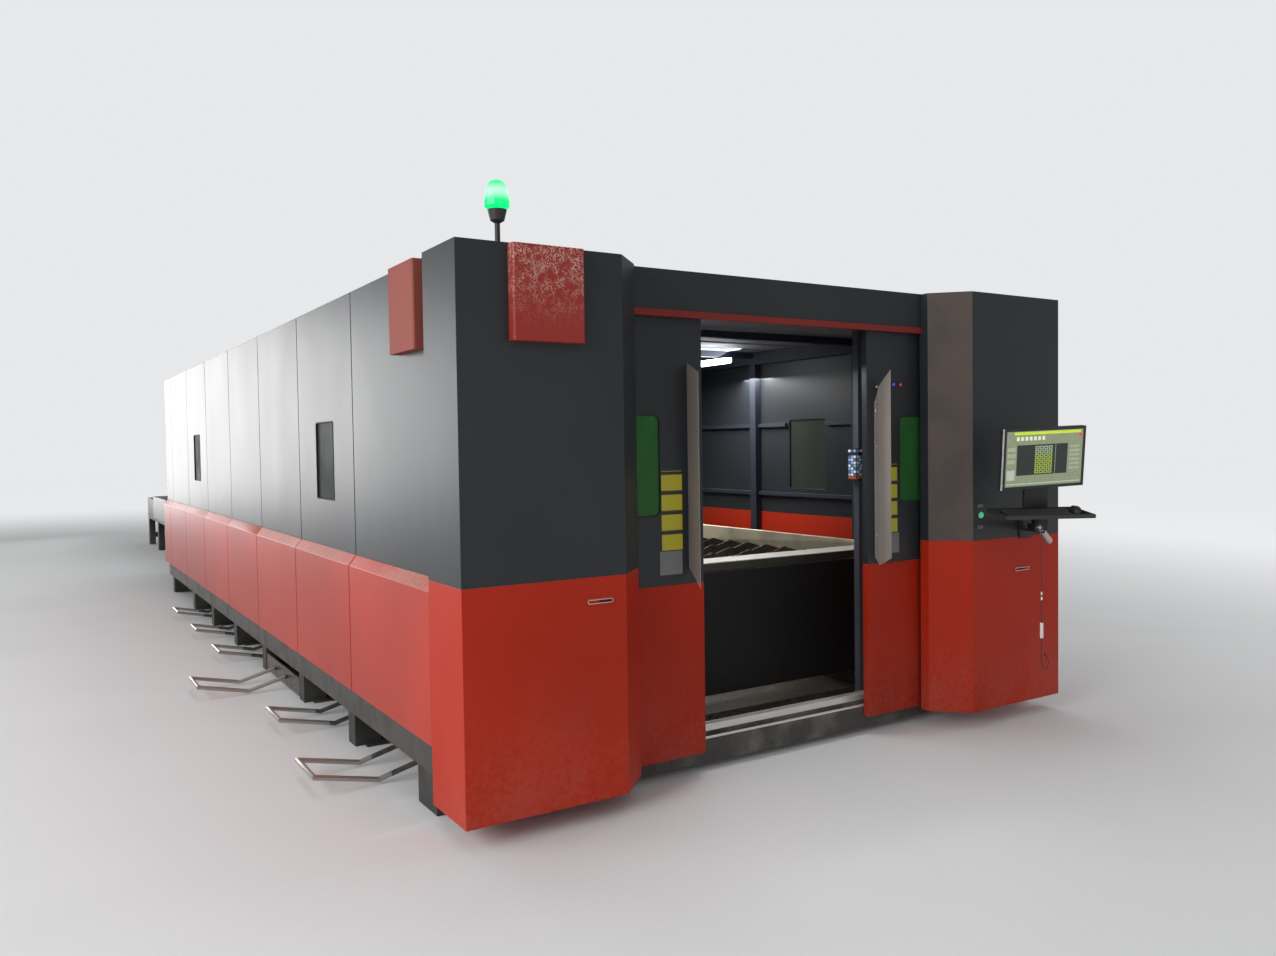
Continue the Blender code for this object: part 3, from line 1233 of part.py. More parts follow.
def console_arm(finishes):
    """Make the swing arm with its hub under the tray and its release lever."""
    pivot = Vector((PIVOT_X, PIVOT_Y, 0))
    hub = Vector((CONSOLE_X, CONSOLE_Y, 0))
    along = (hub - pivot).normalized()
    across = Vector((-along.y, along.x, 0)) * (ARM_WIDTH / 2)
    start = pivot - along * (ARM_WIDTH / 2)
    outline = [start + across, start - across, hub - across, hub + across]
    arm = finish("console_arm", prism([(point.x, point.y) for point in outline], "Z", ARM_LOW, ARM_HIGH),
                 finishes["frame"])
    bore = PIVOT_RADIUS + GLASS_GAP
    eye = [(bore, ARM_LOW - CUT_OVERRUN), (bore, ARM_HIGH + CUT_OVERRUN)]
    cut(arm, turned(eye, (PIVOT_X, PIVOT_Y, 0), steps=16))
    wide = HUB_WIDTH / 2
    deep = HUB_DEPTH / 2
    block = placed(box((-wide, -deep, (ARM_LOW + ARM_HIGH) / 2 - TRAY_LOW), (wide, deep, -SEAT_GAP)),
                   console_matrix())
    swept([LEVER_ROOT, LEVER_TIP], LEVER_RADIUS, 10, block)
    weld(arm, block)


def console_tray(finishes):
    """Make the rimmed tray with the small clip that holds the cord under it."""
    wide = TRAY_WIDTH / 2
    matrix = console_matrix()
    shelf = finish("console_tray", placed(box((-wide, -TRAY_FRONT, 0), (wide, TRAY_BACK, TRAY_RIM)), matrix),
                   finishes["plastic"])
    rim = TRAY_SHEET
    well = box((-wide + rim, -TRAY_FRONT + rim, TRAY_SHEET),
               (wide - rim, TRAY_BACK - rim, TRAY_RIM + CUT_OVERRUN))
    cut(shelf, placed(well, matrix))
    half = CLIP_SIZE / 2
    clip = box((CLIP_X - half, CLIP_Y - half, -CLIP_SIZE), (CLIP_X + half, CLIP_Y + half, TRAY_SHEET / 2))
    weld(shelf, placed(clip, matrix))


def monitor(finishes):
    """Make the monitor and the stand whose round hinge it tilts on."""
    matrix = monitor_matrix()
    floor = TRAY_SHEET + SEAT_GAP
    wide = STAND_WIDTH / 2
    sheet = STAND_SHEET / 2
    axis = MONITOR_LOW + HINGE_HEIGHT
    stand = finish("monitor_stand", placed(box((-wide, -sheet, floor), (wide, sheet, axis)), matrix),
                   finishes["plastic"])
    foot = box((-wide + sheet, -STAND_FOOT_DEPTH, floor), (wide - sheet, sheet / 2, floor + TRAY_SHEET))
    barrel = [(HINGE_RADIUS, -HINGE_LENGTH / 2), (HINGE_RADIUS, HINGE_LENGTH / 2)]
    turned(barrel, (0, 0, axis), "X", 16, foot)
    weld(stand, placed(foot, matrix))
    half = MONITOR_WIDTH / 2
    back = -HINGE_RADIUS - SEAT_GAP
    front = back - MONITOR_DEPTH
    high = MONITOR_LOW + MONITOR_HEIGHT
    screen = finish("monitor", placed(box((-half, front, MONITOR_LOW), (half, back, high)), matrix),
                    finishes["plastic"])
    bezel = MONITOR_BEZEL
    pane = box((-half + bezel, front - CUT_OVERRUN, MONITOR_LOW + bezel),
               (half - bezel, front + MONITOR_SCREEN_RECESS, high - bezel))
    cut(screen, placed(pane, matrix))


def desk_items(finishes):
    """Make the keyboard and the mouse, which sit on the tray."""
    matrix = console_matrix()
    floor = TRAY_SHEET + SEAT_GAP
    front = TRAY_SHEET * 3 - TRAY_FRONT
    wide = KEYBOARD_WIDTH / 2
    keys = [(front, floor), (front + KEYBOARD_DEPTH, floor), (front + KEYBOARD_DEPTH, floor + KEYBOARD_HIGH),
            (front, floor + KEYBOARD_LOW)]
    board = prism(keys, "X", -wide - KEYBOARD_SHIFT, wide - KEYBOARD_SHIFT)
    finish("keyboard", placed(board, matrix), finishes["plastic"])
    finish("mouse", placed(mouse_shape(floor), matrix), finishes["plastic"])


def mouse_shape(floor):
    """Loft the mouse from flat ovals that shrink towards its back."""
    mesh = bmesh.new()
    rings = []
    for share in MOUSE_RING_SHARES:
        scale = math.sqrt(1 - MOUSE_TAPER_SHARE * share ** 2)
        ring = []
        for step in range(12):
            angle = 2 * math.pi * step / 12
            x = MOUSE_SHIFT + MOUSE_WIDTH / 2 * scale * math.cos(angle)
            y = MOUSE_LENGTH / 2 * scale * math.sin(angle)
            ring.append(mesh.verts.new((x, y, floor + MOUSE_HEIGHT * share)))
        rings.append(ring)
    close_rings(mesh, rings)
    return mesh


# Hanging cord

def smooth_route(points, count):
    """Read evenly spaced points from a smooth curve through the route's own points."""
    knots = [Vector(point) for point in points]
    fine = []
    for index in range(len(knots) - 1):
        before = knots[max(index - 1, 0)]
        start, end = knots[index], knots[index + 1]
        after = knots[min(index + 2, len(knots) - 1)]
        for step in range(20):
            t = step / 20
            fine.append(0.5 * (2 * start + (end - before) * t
                               + (2 * before - 5 * start + 4 * end - after) * t ** 2
                               + (3 * start - before - 3 * end + after) * t ** 3))
    fine.append(knots[-1])
    lengths = [0.0]
    for near, far in zip(fine, fine[1:]):
        lengths.append(lengths[-1] + (far - near).length)
    result = []
    position = 0
    for index in range(count):
        target = lengths[-1] * index / (count - 1)
        while position < len(fine) - 2 and lengths[position + 1] < target:
            position += 1
        span = lengths[position + 1] - lengths[position]
        share = (target - lengths[position]) / span if span else 0
        result.append(fine[position].lerp(fine[position + 1], min(max(share, 0), 1)))
    return result


def cord(finishes):
    """Make the thin cord as a bevelled curve, and the white adapter at its free end."""
    curve = bpy.data.curves.new("hanging_cord", "CURVE")
    curve.dimensions = "3D"
    curve.bevel_depth = CORD_RADIUS
    curve.bevel_resolution = 2
    curve.use_fill_caps = True
    points = smooth_route(CORD_ROUTE, CORD_POINTS)
    spline = curve.splines.new("POLY")
    spline.points.add(len(points) - 1)
    for target, point in zip(spline.points, points):
        target.co = (*point, 1.0)
    result = bpy.data.objects.new("hanging_cord", curve)
    curve.materials.append(finishes["plastic"])
    bpy.context.collection.objects.link(result)
    sleeve = [(ADAPTER_RADIUS, ADAPTER_LOW), (ADAPTER_RADIUS, ADAPTER_HIGH)]
    adapter = finish("cord_adapter", turned(sleeve, (ADAPTER_X, ADAPTER_Y, 0), steps=12), finishes["lamp"])
    bore = [(ADAPTER_BORE, ADAPTER_LOW - CUT_OVERRUN), (ADAPTER_BORE, ADAPTER_HIGH + CUT_OVERRUN)]
    cut(adapter, turned(bore, (ADAPTER_X, ADAPTER_Y, 0), steps=12))


# Whole machine

def hang(pivot_name, place, names, parent=None):
    """Hang objects on an empty that stands on their joint's axis."""
    pivot = bpy.data.objects.new(pivot_name, None)
    bpy.context.collection.objects.link(pivot)
    pivot.location = place
    shift = Matrix.Translation(place).inverted()
    for name in names:
        item = bpy.data.objects[name]
        item.parent = pivot
        item.matrix_parent_inverse = shift
    if parent is not None:
        pivot.parent = parent
        pivot.matrix_parent_inverse = Matrix.Translation(parent.location).inverted()
    return pivot


def console_pivots():
    """Hang the console on its wall pin and the monitor on its stand's hinge."""
    names = ["console_arm", "console_tray", "monitor_stand", "keyboard", "mouse", "hanging_cord",
             "cord_adapter"]
    pin = hang("console_pivot", Vector((PIVOT_X, PIVOT_Y, ARM_LOW)), names)
    hinge = monitor_matrix() @ Vector((0, 0, MONITOR_LOW + HINGE_HEIGHT))
    hang("monitor_pivot", hinge, ["monitor"], pin)


def stand_on_origin():
    """Hang every object on one empty, so that the box's middle is over the origin."""
    holder = bpy.data.objects.new("machine", None)
    bpy.context.collection.objects.link(holder)
    bpy.context.view_layer.update()
    graph = bpy.context.evaluated_depsgraph_get()
    low = Vector((math.inf, math.inf, 0))
    high = Vector((-math.inf, -math.inf, 0))
    for item in bpy.context.scene.objects:
        if item.type != "MESH" or item.hide_render:
            continue
        evaluated = item.evaluated_get(graph)
        for corner in evaluated.bound_box:
            point = evaluated.matrix_world @ Vector(corner)
            low = Vector((min(low.x, point.x), min(low.y, point.y), 0))
            high = Vector((max(high.x, point.x), max(high.y, point.y), 0))
    for item in bpy.context.scene.objects:
        if item.parent is None and item is not holder:
            item.parent = holder
    holder.location = -(low + high) / 2


def main():
    for item in list(bpy.data.objects):
        bpy.data.objects.remove(item, do_unlink=True)
    finishes = make_materials()
    base_frame(finishes)
    enclosure_frame(finishes)
    for side in (LEFT, RIGHT):
        side_wall(side, finishes)
        door(side, finishes)
    columns(finishes)
    roof(finishes)
    rear_wall(finishes)
    header(finishes)
    door_frame(finishes)
    threshold(finishes)
    sign_boxes(finishes)
    beacon(finishes)
    lamp(finishes)
    pendant(finishes)
    start_button(finishes)
    bed(finishes)
    bed_cover(finishes)
    gantry_rails(finishes)
    gantry(finishes)
    head(finishes)
    pallet("upper_pallet", UPPER_LEDGE_TOP, PALLET_FRONT, finishes)
    pallet("lower_pallet", LOWER_LEDGE_TOP, PALLET_FRONT + PALLET_TRAVEL, finishes)
    changer(finishes)
    for index, centre_y in enumerate(drawer_centres()):
        drawer(index, centre_y, finishes)
    console_bracket(finishes)
    console_arm(finishes)
    console_tray(finishes)
    monitor(finishes)
    desk_items(finishes)
    cord(finishes)
    console_pivots()
    stand_on_origin()


main()
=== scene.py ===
"""Finishes and small parts of the fiber laser cutting machine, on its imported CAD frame."""

import math
from functools import partial

import bmesh
import bpy
from bpy.props import FloatProperty, FloatVectorProperty, IntProperty, PointerProperty
from mathutils import Matrix, Vector


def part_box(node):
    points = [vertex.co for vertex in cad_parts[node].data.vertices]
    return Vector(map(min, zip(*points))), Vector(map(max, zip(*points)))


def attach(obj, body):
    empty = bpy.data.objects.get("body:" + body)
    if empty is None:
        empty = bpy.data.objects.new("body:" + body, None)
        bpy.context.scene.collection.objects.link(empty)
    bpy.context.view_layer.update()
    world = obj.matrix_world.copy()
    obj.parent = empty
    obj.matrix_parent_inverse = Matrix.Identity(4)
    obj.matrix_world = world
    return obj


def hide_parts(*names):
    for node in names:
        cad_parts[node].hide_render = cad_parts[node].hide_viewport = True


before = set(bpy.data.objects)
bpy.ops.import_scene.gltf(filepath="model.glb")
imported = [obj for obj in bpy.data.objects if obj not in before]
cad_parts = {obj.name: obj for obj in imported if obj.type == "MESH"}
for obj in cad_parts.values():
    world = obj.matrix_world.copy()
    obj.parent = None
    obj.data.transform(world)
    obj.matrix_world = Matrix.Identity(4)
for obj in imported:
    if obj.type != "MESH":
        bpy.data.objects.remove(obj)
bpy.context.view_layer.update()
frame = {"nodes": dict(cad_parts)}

bl_info = {
    "name": "Laser Cutting Machine",
    "version": (1, 0, 0),
    "blender": (4, 5, 0),
    "location": "View3D > Sidebar > Laser cutter",
    "description": "Paints the machine's sheet metal and builds its small parts",
    "category": "Object",
}

LEFT = -1
RIGHT = 1
SIDE_NAMES = {LEFT: "left", RIGHT: "right"}
UP = Vector((0.0, 0.0, 1.0))
TO_FRONT = Vector((0.0, -1.0, 0.0))

# The machine's middle plane and the front face of its corner columns
MIDDLE = (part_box("left_column_upper")[0][0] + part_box("right_column_upper")[1][0]) / 2
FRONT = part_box("left_column_upper")[0][1]

CAMERA_PLACE = (-3.317, -3.610, 1.594)
CAMERA_YAW = 0.5614
CAMERA_PITCH = -0.0337
CAMERA_ROLL = -0.0143
FOCAL_PIXELS = 992.83
IMAGE_WIDTH = 1276

CORD_ROUTE = (
    (1.241, -0.335, 1.164), (1.2411, -0.335, 1.11), (1.240, -0.335, 1.02), (1.240, -0.335, 0.90),
    (1.2405, -0.335, 0.80), (1.241, -0.335, 0.70), (1.241, -0.335, 0.63), (1.241, -0.335, 0.53),
    (1.237, -0.335, 0.47), (1.238, -0.335, 0.42), (1.252, -0.335, 0.386), (1.276, -0.336, 0.376),
    (1.293, -0.338, 0.398), (1.286, -0.340, 0.432), (1.266, -0.342, 0.448),
)
CORD_POINTS = 44
CORD_DIAMETER = 0.004
BARREL_PLACES = ((1.2408, -0.335, 0.745), (1.2408, -0.335, 0.772))

WALL_FACE = 1.823
DRAWER_BAR = -1.83
BED_FACE = 0.7
DOOR_EDGE = {LEFT: 0.523, RIGHT: 0.567}
DOOR_FACE = 0.25
HANDLE_FACE = DOOR_FACE - 0.0044
HANDLE_INSET = 0.067
HANDLE_MIDDLE = 1.446
HANDLE_DOMES = ((0.639, 1.886), (0.632, 1.756))
INDICATORS = (0.766, 0.820)
INDICATOR_HEIGHT = 1.902
LABEL_INSET = {LEFT: 0.122, RIGHT: 0.109}
LABEL_WIDTH = 0.117
LABEL_LOW = 1.092
LABEL_TOP = 1.478
LABEL_PITCH = 0.0935
LATCHES = ((LEFT, -1.244, 0.938), (RIGHT, 1.525, 0.857))
BUTTON_PLACE = (1.175, 0.0, 1.18)
BUTTON_PLATES = (1.2304, 1.1136)

# The console's tray in the machine, and the screen and the tray's floor in the tray
TRAY_PLACE = (1.312, -0.273, 1.189)
TRAY_TURN = -28.0
TRAY_TILT = 6.5
TRAY_FLOOR = 0.0063
SCREEN_PLACE = (0.008, 0.078, 0.0)
SCREEN_TURN = 16.0
SCREEN_FACE = -0.0523
SCREEN_WIDTH = 0.508
SCREEN_LOW = 0.156
SCREEN_HEIGHT = 0.293
LEVER_ROOT = (1.275, -0.277, 1.150)
LEVER_TIP = (1.411, -0.259, 1.040)

DUST = (0.46, 0.42, 0.34)
PALE_DUST = (0.62, 0.60, 0.54)


def at(x, y, z):
    """A point given from the middle plane, the columns' front and the floor."""
    return Vector((MIDDLE + x, FRONT + y, z))


def corners(node):
    """The low and the high corner of a CAD node's box."""
    return (Vector(corner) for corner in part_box(node))


# Settings

class CutterPaint(bpy.types.PropertyGroup):
    """Colours and gloss of the machine."""
    graphite: FloatVectorProperty(
        name="Upper panels", description="Powder coat of the upper panels and doors",
        subtype="COLOR", size=3, min=0.0, max=1.0, default=(0.023, 0.026, 0.030))
    red: FloatVectorProperty(
        name="Lower panels", description="Powder coat of the lower panels and doors",
        subtype="COLOR", size=3, min=0.0, max=1.0, default=(0.43, 0.024, 0.007))
    frame: FloatVectorProperty(
        name="Frame", description="Paint of the gantry, the pallet changer and the console's arm",
        subtype="COLOR", size=3, min=0.0, max=1.0, default=(0.017, 0.019, 0.023))
    bed: FloatVectorProperty(
        name="Bed", description="Paint of the machine bed",
        subtype="COLOR", size=3, min=0.0, max=1.0, default=(0.66, 0.59, 0.43))
    # The door windows' tint is lighter than the side windows', as painted light from behind them
    window: FloatVectorProperty(
        name="Door windows", description="Tint of the safety windows that show light behind them",
        subtype="COLOR", size=3, min=0.0, max=1.0, default=(0.046, 0.200, 0.052))
    # The side windows' tint is darker, as painted shade of the dim inside
    side_window: FloatVectorProperty(
        name="Side windows", description="Tint of the safety windows in the side walls",
        subtype="COLOR", size=3, min=0.0, max=1.0, default=(0.046, 0.056, 0.045))
    roughness: FloatProperty(
        name="Paint roughness", description="Roughness of the powder coat",
        subtype="FACTOR", min=0.0, max=1.0, default=0.40)


class CutterFittings(bpy.types.PropertyGroup):
    """Sizes of the small parts."""
    screw_radius: FloatProperty(
        name="Screw radius", description="Radius of the pulls' button-head screws",
        subtype="DISTANCE", unit="LENGTH", min=0.002, max=0.02, default=0.005)
    gasket: FloatProperty(
        name="Gasket width", description="Width of the rubber lip round a window",
        subtype="DISTANCE", unit="LENGTH", min=0.002, max=0.03, default=0.007)
    key_rows: IntProperty(
        name="Key rows", description="Rows of keys on the keyboard", min=3, max=7, default=6)
    key_columns: IntProperty(
        name="Key columns", description="Keys in a row of the keyboard", min=10, max=22, default=19)
    edge: FloatProperty(
        name="Sheet edge", description="Radius of the folded sheets' edges",
        subtype="DISTANCE", unit="LENGTH", min=0.0002, max=0.005, default=0.0018)


class CutterStage(bpy.types.PropertyGroup):
    """Light and floor of the studio."""
    sky: FloatProperty(
        name="Studio light", description="Strength of the even light from all round",
        min=0.0, max=3.0, default=0.33)
    near: FloatProperty(
        name="Near light", description="Power of the lamp at the front left corner",
        unit="POWER", min=0.0, max=2000.0, default=58.0)
    key: FloatProperty(
        name="Side light",
        description="Power of the broad lamp on the left; the far, front and top lamps follow it",
        unit="POWER", min=0.0, max=5000.0, default=380.0)
    backdrop: FloatVectorProperty(
        name="Backdrop", description="Colour behind the machine",
        subtype="COLOR", size=3, min=0.0, max=1.0, default=(0.80, 0.81, 0.82))


# Finishes

FINISHES = {}


class Number:
    """A socket of a finish that takes part in Python expressions."""

    def __init__(self, finish, socket):
        self.finish = finish
        self.socket = socket

    def math(self, operation, *terms):
        return self.finish.node("ShaderNodeMath", {"operation": operation}, dict(enumerate(terms)))

    def __add__(self, other):
        return self.math("ADD", self, other)

    def __sub__(self, other):
        return self.math("SUBTRACT", self, other)

    def __rsub__(self, other):
        return self.math("SUBTRACT", other, self)

    def __mul__(self, other):
        return self.math("MULTIPLY", self, other)

    def __gt__(self, other):
        return self.math("GREATER_THAN", self, other)

    def __lt__(self, other):
        return self.math("LESS_THAN", self, other)

    def __abs__(self):
        return self.math("ABSOLUTE", self)

    __radd__ = __add__
    __rmul__ = __mul__


class Finish:
    """A material that is built from Python expressions."""

    def __init__(self, name, **constants):
        FINISHES[name] = self.material = bpy.data.materials.new(name)
        self.material.use_nodes = True
        self.tree = self.material.node_tree
        self.shader = self.tree.nodes["Principled BSDF"]
        self.place = self.node("ShaderNodeTexCoord", output="Object")
        self.surface(**constants)

    def node(self, kind, settings=None, inputs=None, output=0):
        item = self.tree.nodes.new(kind)
        for name, setting in (settings or {}).items():
            setattr(item, name, setting)
        for key, given in (inputs or {}).items():
            self.feed(item.inputs[key], given)
        return Number(self, item.outputs[output])

    def feed(self, socket, given):
        if isinstance(given, Number):
            self.tree.links.new(given.socket, socket)
        elif socket.type == "RGBA" and len(given) == 3:
            socket.default_value = (*given, 1.0)
        else:
            socket.default_value = given

    def surface(self, **values):
        for name, given in values.items():
            self.feed(self.shader.inputs[name.replace("_", " ").title().replace("Ior", "IOR")], given)

    def stretched(self, scale, offset=(0.0, 0.0, 0.0)):
        return self.node("ShaderNodeMapping", None, {
            "Vector": self.place, "Scale": scale, "Location": offset})

    def noise(self, scale, detail=2.0, place=None):
        return self.node("ShaderNodeTexNoise", None, {
            "Vector": place or self.place, "Scale": scale, "Detail": detail})

    def cells(self, scale, output="Distance"):
        return self.node("ShaderNodeTexVoronoi", None, {"Vector": self.place, "Scale": scale}, output)

    def along(self, axis, vector=None):
        return self.node("ShaderNodeSeparateXYZ", None, {0: vector or self.place}, axis)

    def facing(self, axis):
        return self.along(axis, self.node("ShaderNodeNewGeometry", output="Normal"))

    def band(self, value, low, high):
        return self.node("ShaderNodeMapRange", {"interpolation_type": "SMOOTHSTEP"}, {
            "Value": value, "From Min": low, "From Max": high})

    def blend(self, factor, first, second):
        return self.node("ShaderNodeMix", {"data_type": "RGBA"}, {0: factor, 6: first, 7: second}, 2)

    def relief(self, height, distance, strength):
        return self.node("ShaderNodeBump", None, {
            "Height": height, "Distance": distance, "Strength": strength})


def tint(colour, factor):
    """A colour made lighter or darker."""
    return tuple(min(channel * factor, 1.0) for channel in colour)


def powder_coat(name, colour, roughness, dust=1.0, ledge=0.75, gloss=0.32, film_and_painted_reflection=None):
    """Sprayed sheet metal: orange peel, faint shade changes, hand marks and workshop dust; where asked, a
    painted reflection on the faces that slant to the left front.
    """
    paint = Finish(name, specular_ior_level=gloss)
    broad = paint.noise(0.7, 3.0)
    smears = paint.noise(1.0, 4.0, paint.stretched((2.6, 2.6, 1.5)))
    grains = paint.noise(55.0, 3.0)
    scratches = paint.band(paint.noise(1.0, place=paint.stretched((3.0, 3.0, 260.0))), 0.70, 0.74)
    low = 1.0 - paint.band(paint.along("Z"), 0.0, 0.75)
    upward = paint.band(paint.facing("Z"), 0.35, 0.95)
    settled = (low * 0.30 * dust + upward * ledge) * paint.band(smears * 0.6 + grains * 0.4, 0.36, 0.62)
    tone = paint.blend(paint.band(broad, 0.3, 0.7), tint(colour, 0.88), tint(colour, 1.14))
    tone = paint.blend(scratches * 0.10, tone, tint(colour, 2.2))
    # Painted reflection: faces slanting to the left front get a lighter brownish tone in blotches, standing
    # in for light they reflect
    if film_and_painted_reflection is not None:
        slanted = (paint.facing("X") < -0.4) * (paint.facing("Y") < -0.4)
        blotches = paint.band(paint.noise(4.0, 6.0), 0.25, 0.70)
        tone = paint.blend(slanted * (blotches * 0.4 + 0.55), tone, film_and_painted_reflection)
    paint.surface(
        base_color=paint.blend(settled * 0.75, tone, DUST),
        roughness=roughness + smears * 0.05 + settled * 0.3 - 0.02,
        normal=paint.relief(paint.noise(330.0), 0.00012, 0.5))


def wrinkle_paint(name, colour, low, high):
    """Wrinkle coat of a sign box, with painted glints on its fine grains that grow towards its top."""
    paint = Finish(name, specular_ior_level=0.35)
    grains = paint.cells(420.0)
    margin = (high - low) * 0.05
    lit = paint.band(paint.along("Z"), low + margin, high - margin)
    painted_glints = paint.band(paint.along("Z", paint.cells(210.0, "Color")), 0.50, 0.66)
    patches = paint.band(paint.noise(24.0, 5.0), 0.36, 0.60)
    # Painted highlight: pale glints on the grains, stronger towards the top of the box
    paint.surface(
        base_color=paint.blend(painted_glints * patches * lit * 0.75, colour, (0.62, 0.42, 0.37)),
        roughness=0.46 + patches * 0.12,
        normal=paint.relief(grains, 0.0003, 0.6))


def brushed_metal(name, colour, roughness, stretch, grime):
    """Drawn or ground steel with oily patches."""
    metal = Finish(name, metallic=1.0)
    lines = metal.noise(1.0, 3.0, metal.stretched(stretch))
    stains = metal.band(metal.noise(6.0, 4.0), 0.45, 0.72)
    metal.surface(
        base_color=metal.blend(stains * grime, metal.blend(lines, tint(colour, 0.8), tint(colour, 1.15)),
                               (0.13, 0.105, 0.08)),
        roughness=roughness + lines * 0.12 + stains * 0.22,
        normal=metal.relief(lines, 0.0002, 0.4))


def base_coat(name, colour, roughness):
    """Paint of the base: near-black below the skirt as painted shade, mottled by dirt, and dusty inside the
    door.
    """
    paint = Finish(name, specular_ior_level=0.32)
    height = paint.along("Z")
    deep = paint.along("Y") - FRONT
    broad = paint.noise(0.7, 3.0)
    dirt = paint.band(paint.noise(6.0, 5.0), 0.40, 0.70)
    upward = paint.band(paint.facing("Z"), 0.35, 0.95)
    # The floor and the sills that show through the doorway
    inside = (deep > 0.30) * (deep < 0.78) * (height < 0.24) * (abs(paint.along("X") - MIDDLE) < 1.05)
    tone = paint.blend(broad, tint(colour, 0.85), tint(colour, 1.25))
    tone = paint.blend(dirt * upward * 0.6, tone, DUST)
    # Painted shade: below the skirt the feet and floor strips are near-black, as the shade under the machine
    painted_shade_below_skirt = paint.blend(dirt, (0.030, 0.029, 0.027), (0.060, 0.056, 0.050))
    tone = paint.blend(height < 0.178, tone, painted_shade_below_skirt)
    paint.surface(
        base_color=paint.blend(inside * 0.9, tone, paint.blend(dirt, PALE_DUST, (0.44, 0.41, 0.35))),
        roughness=roughness + dirt * 0.2,
        normal=paint.relief(paint.noise(330.0), 0.00012, 0.5))


def sill_steel(name):
    """Extruded door sill: polished rail crowns and inner lip, painted bright as highlights, over a dark,
    dusty fascia and channel.
    """
    metal = Finish(name)
    height = metal.along("Z")
    deep = metal.along("Y") - FRONT
    lines = metal.noise(1.0, 3.0, metal.stretched((2.0, 220.0, 220.0)))
    grit = metal.noise(90.0, 4.0)
    dirt = metal.band(metal.noise(5.0, 5.0), 0.42, 0.70)
    # Heights and depths of the two rails' crowns and of the inner lip, which carry painted highlights
    crown = (height > 0.1485) * (deep < 0.318) + (height > 0.172) * (deep < 0.360) * (deep > 0.330)
    lip = (height > 0.180) * (deep > 0.420)
    bright = metal.blend(lines, (0.62, 0.61, 0.58), (0.88, 0.87, 0.84))
    dull = metal.blend(dirt * 0.6 + grit * 0.3, (0.030, 0.029, 0.028), (0.20, 0.185, 0.16))
    dull = metal.blend(deep > 0.362, dull, metal.blend(dirt, PALE_DUST, (0.46, 0.43, 0.37)))
    # Painted highlight: crowns and lip get a pale base colour, partly real polished steel, partly standing in
    # for bright glints
    painted_highlight = crown + lip * 0.6
    metal.surface(
        base_color=metal.blend(painted_highlight, dull, bright),
        metallic=painted_highlight * 0.55,
        roughness=0.62 - painted_highlight * 0.34 + dirt * 0.12,
        normal=metal.relief(lines * 0.5 + grit * 0.5, 0.0002, 0.5))


def dusty_zinc(name):
    """Galvanised sheet of the floor drawers, darkened as painted shade under the bed, with slag dust and rust
    along the bottom.
    """
    metal = Finish(name)
    spangle = metal.along("X", metal.cells(70.0, "Color"))
    grit = metal.noise(120.0, 4.0)
    rust = metal.band(metal.noise(4.5, 5.0), 0.50, 0.68)
    upward = metal.band(metal.facing("Z"), 0.4, 0.9)
    # The zinc tone is kept dark as painted shade of the drawers under the bed
    zinc = metal.blend(spangle, (0.085, 0.079, 0.070), (0.150, 0.142, 0.130))
    brown = metal.blend(grit, (0.10, 0.055, 0.03), (0.21, 0.13, 0.075))
    bar = metal.along("X") < (MIDDLE + DRAWER_BAR)
    cover = (rust * 0.7 + upward * metal.band(grit, 0.35, 0.7) * 0.5) * (1.0 - bar * 0.75)
    worn = metal.blend(bar, zinc, metal.blend(grit, (0.30, 0.285, 0.26), (0.50, 0.48, 0.45)))
    metal.surface(
        base_color=metal.blend(cover * 0.75, worn, brown),
        metallic=0.75 - cover * 0.7,
        roughness=0.38 + cover * 0.35,
        normal=metal.relief(grit, 0.0004, 0.5))


def scorched_steel(name):
    """Cut and burnt steel of the pallets, with slag drops and rust near the teeth."""
    metal = Finish(name)
    rust = metal.band(metal.noise(7.0, 5.0), 0.40, 0.66)
    burnt = metal.band(metal.noise(30.0, 4.0), 0.45, 0.65)
    drops = metal.band(metal.cells(90.0), 0.0, 0.35)
    plain = metal.blend(rust, (0.115, 0.105, 0.095), (0.115, 0.070, 0.042))
    metal.surface(
        base_color=metal.blend(burnt * 0.6, plain, (0.045, 0.038, 0.034)),
        metallic=0.7 - rust * 0.6,
        roughness=0.45 + rust * 0.35,
        normal=metal.relief(1.0 - drops, 0.0012, 0.6))


def bed_coat(name, colour):
    """Cream machine paint, with painted shade on the front face below the top, and worn by sheets along the
    top edges.
    """
    paint = Finish(name)
    height = paint.along("Z")
    deep = paint.along("Y") - (FRONT + BED_FACE)
    grime = paint.band(paint.noise(3.2, 5.0), 0.38, 0.72)
    fine = paint.noise(40.0, 4.0)
    # Painted shade: the bed's front face below its top edge is near-black, as shade under the top
    front = (deep < 0.006) * (height < 0.9465)
    worn = paint.band(height, 0.9475, 0.9485) * (height < 0.9520) * (deep < 0.2)
    low = 1.0 - paint.band(height, 0.25, 0.9)
    base = paint.blend(grime * 0.55 + low * 0.35, colour, (0.15, 0.125, 0.085))
    base = paint.blend(front, base, paint.blend(fine, (0.012, 0.011, 0.007), (0.034, 0.030, 0.019)))
    base = paint.blend(worn * 0.8, base, (0.58, 0.57, 0.54))
    paint.surface(base_color=base, roughness=0.5 + grime * 0.25, normal=paint.relief(fine, 0.0003, 0.4))


def safety_window(name, colour, clear, roughness, gloss=0.5):
    """Green see-through sheet with wipe marks and a film of dust."""
    pane = Finish(name, ior=1.25, transmission_weight=clear, specular_ior_level=gloss)
    wipe = pane.noise(1.0, 3.0, pane.stretched((9.0, 9.0, 2.5)))
    film_and_painted_reflection = pane.band(pane.noise(3.0, 4.0), 0.40, 0.75)
    pane.surface(
        base_color=pane.blend(wipe, tint(colour, 0.85), tint(colour, 1.2)),
        roughness=roughness + film_and_painted_reflection * 0.10)


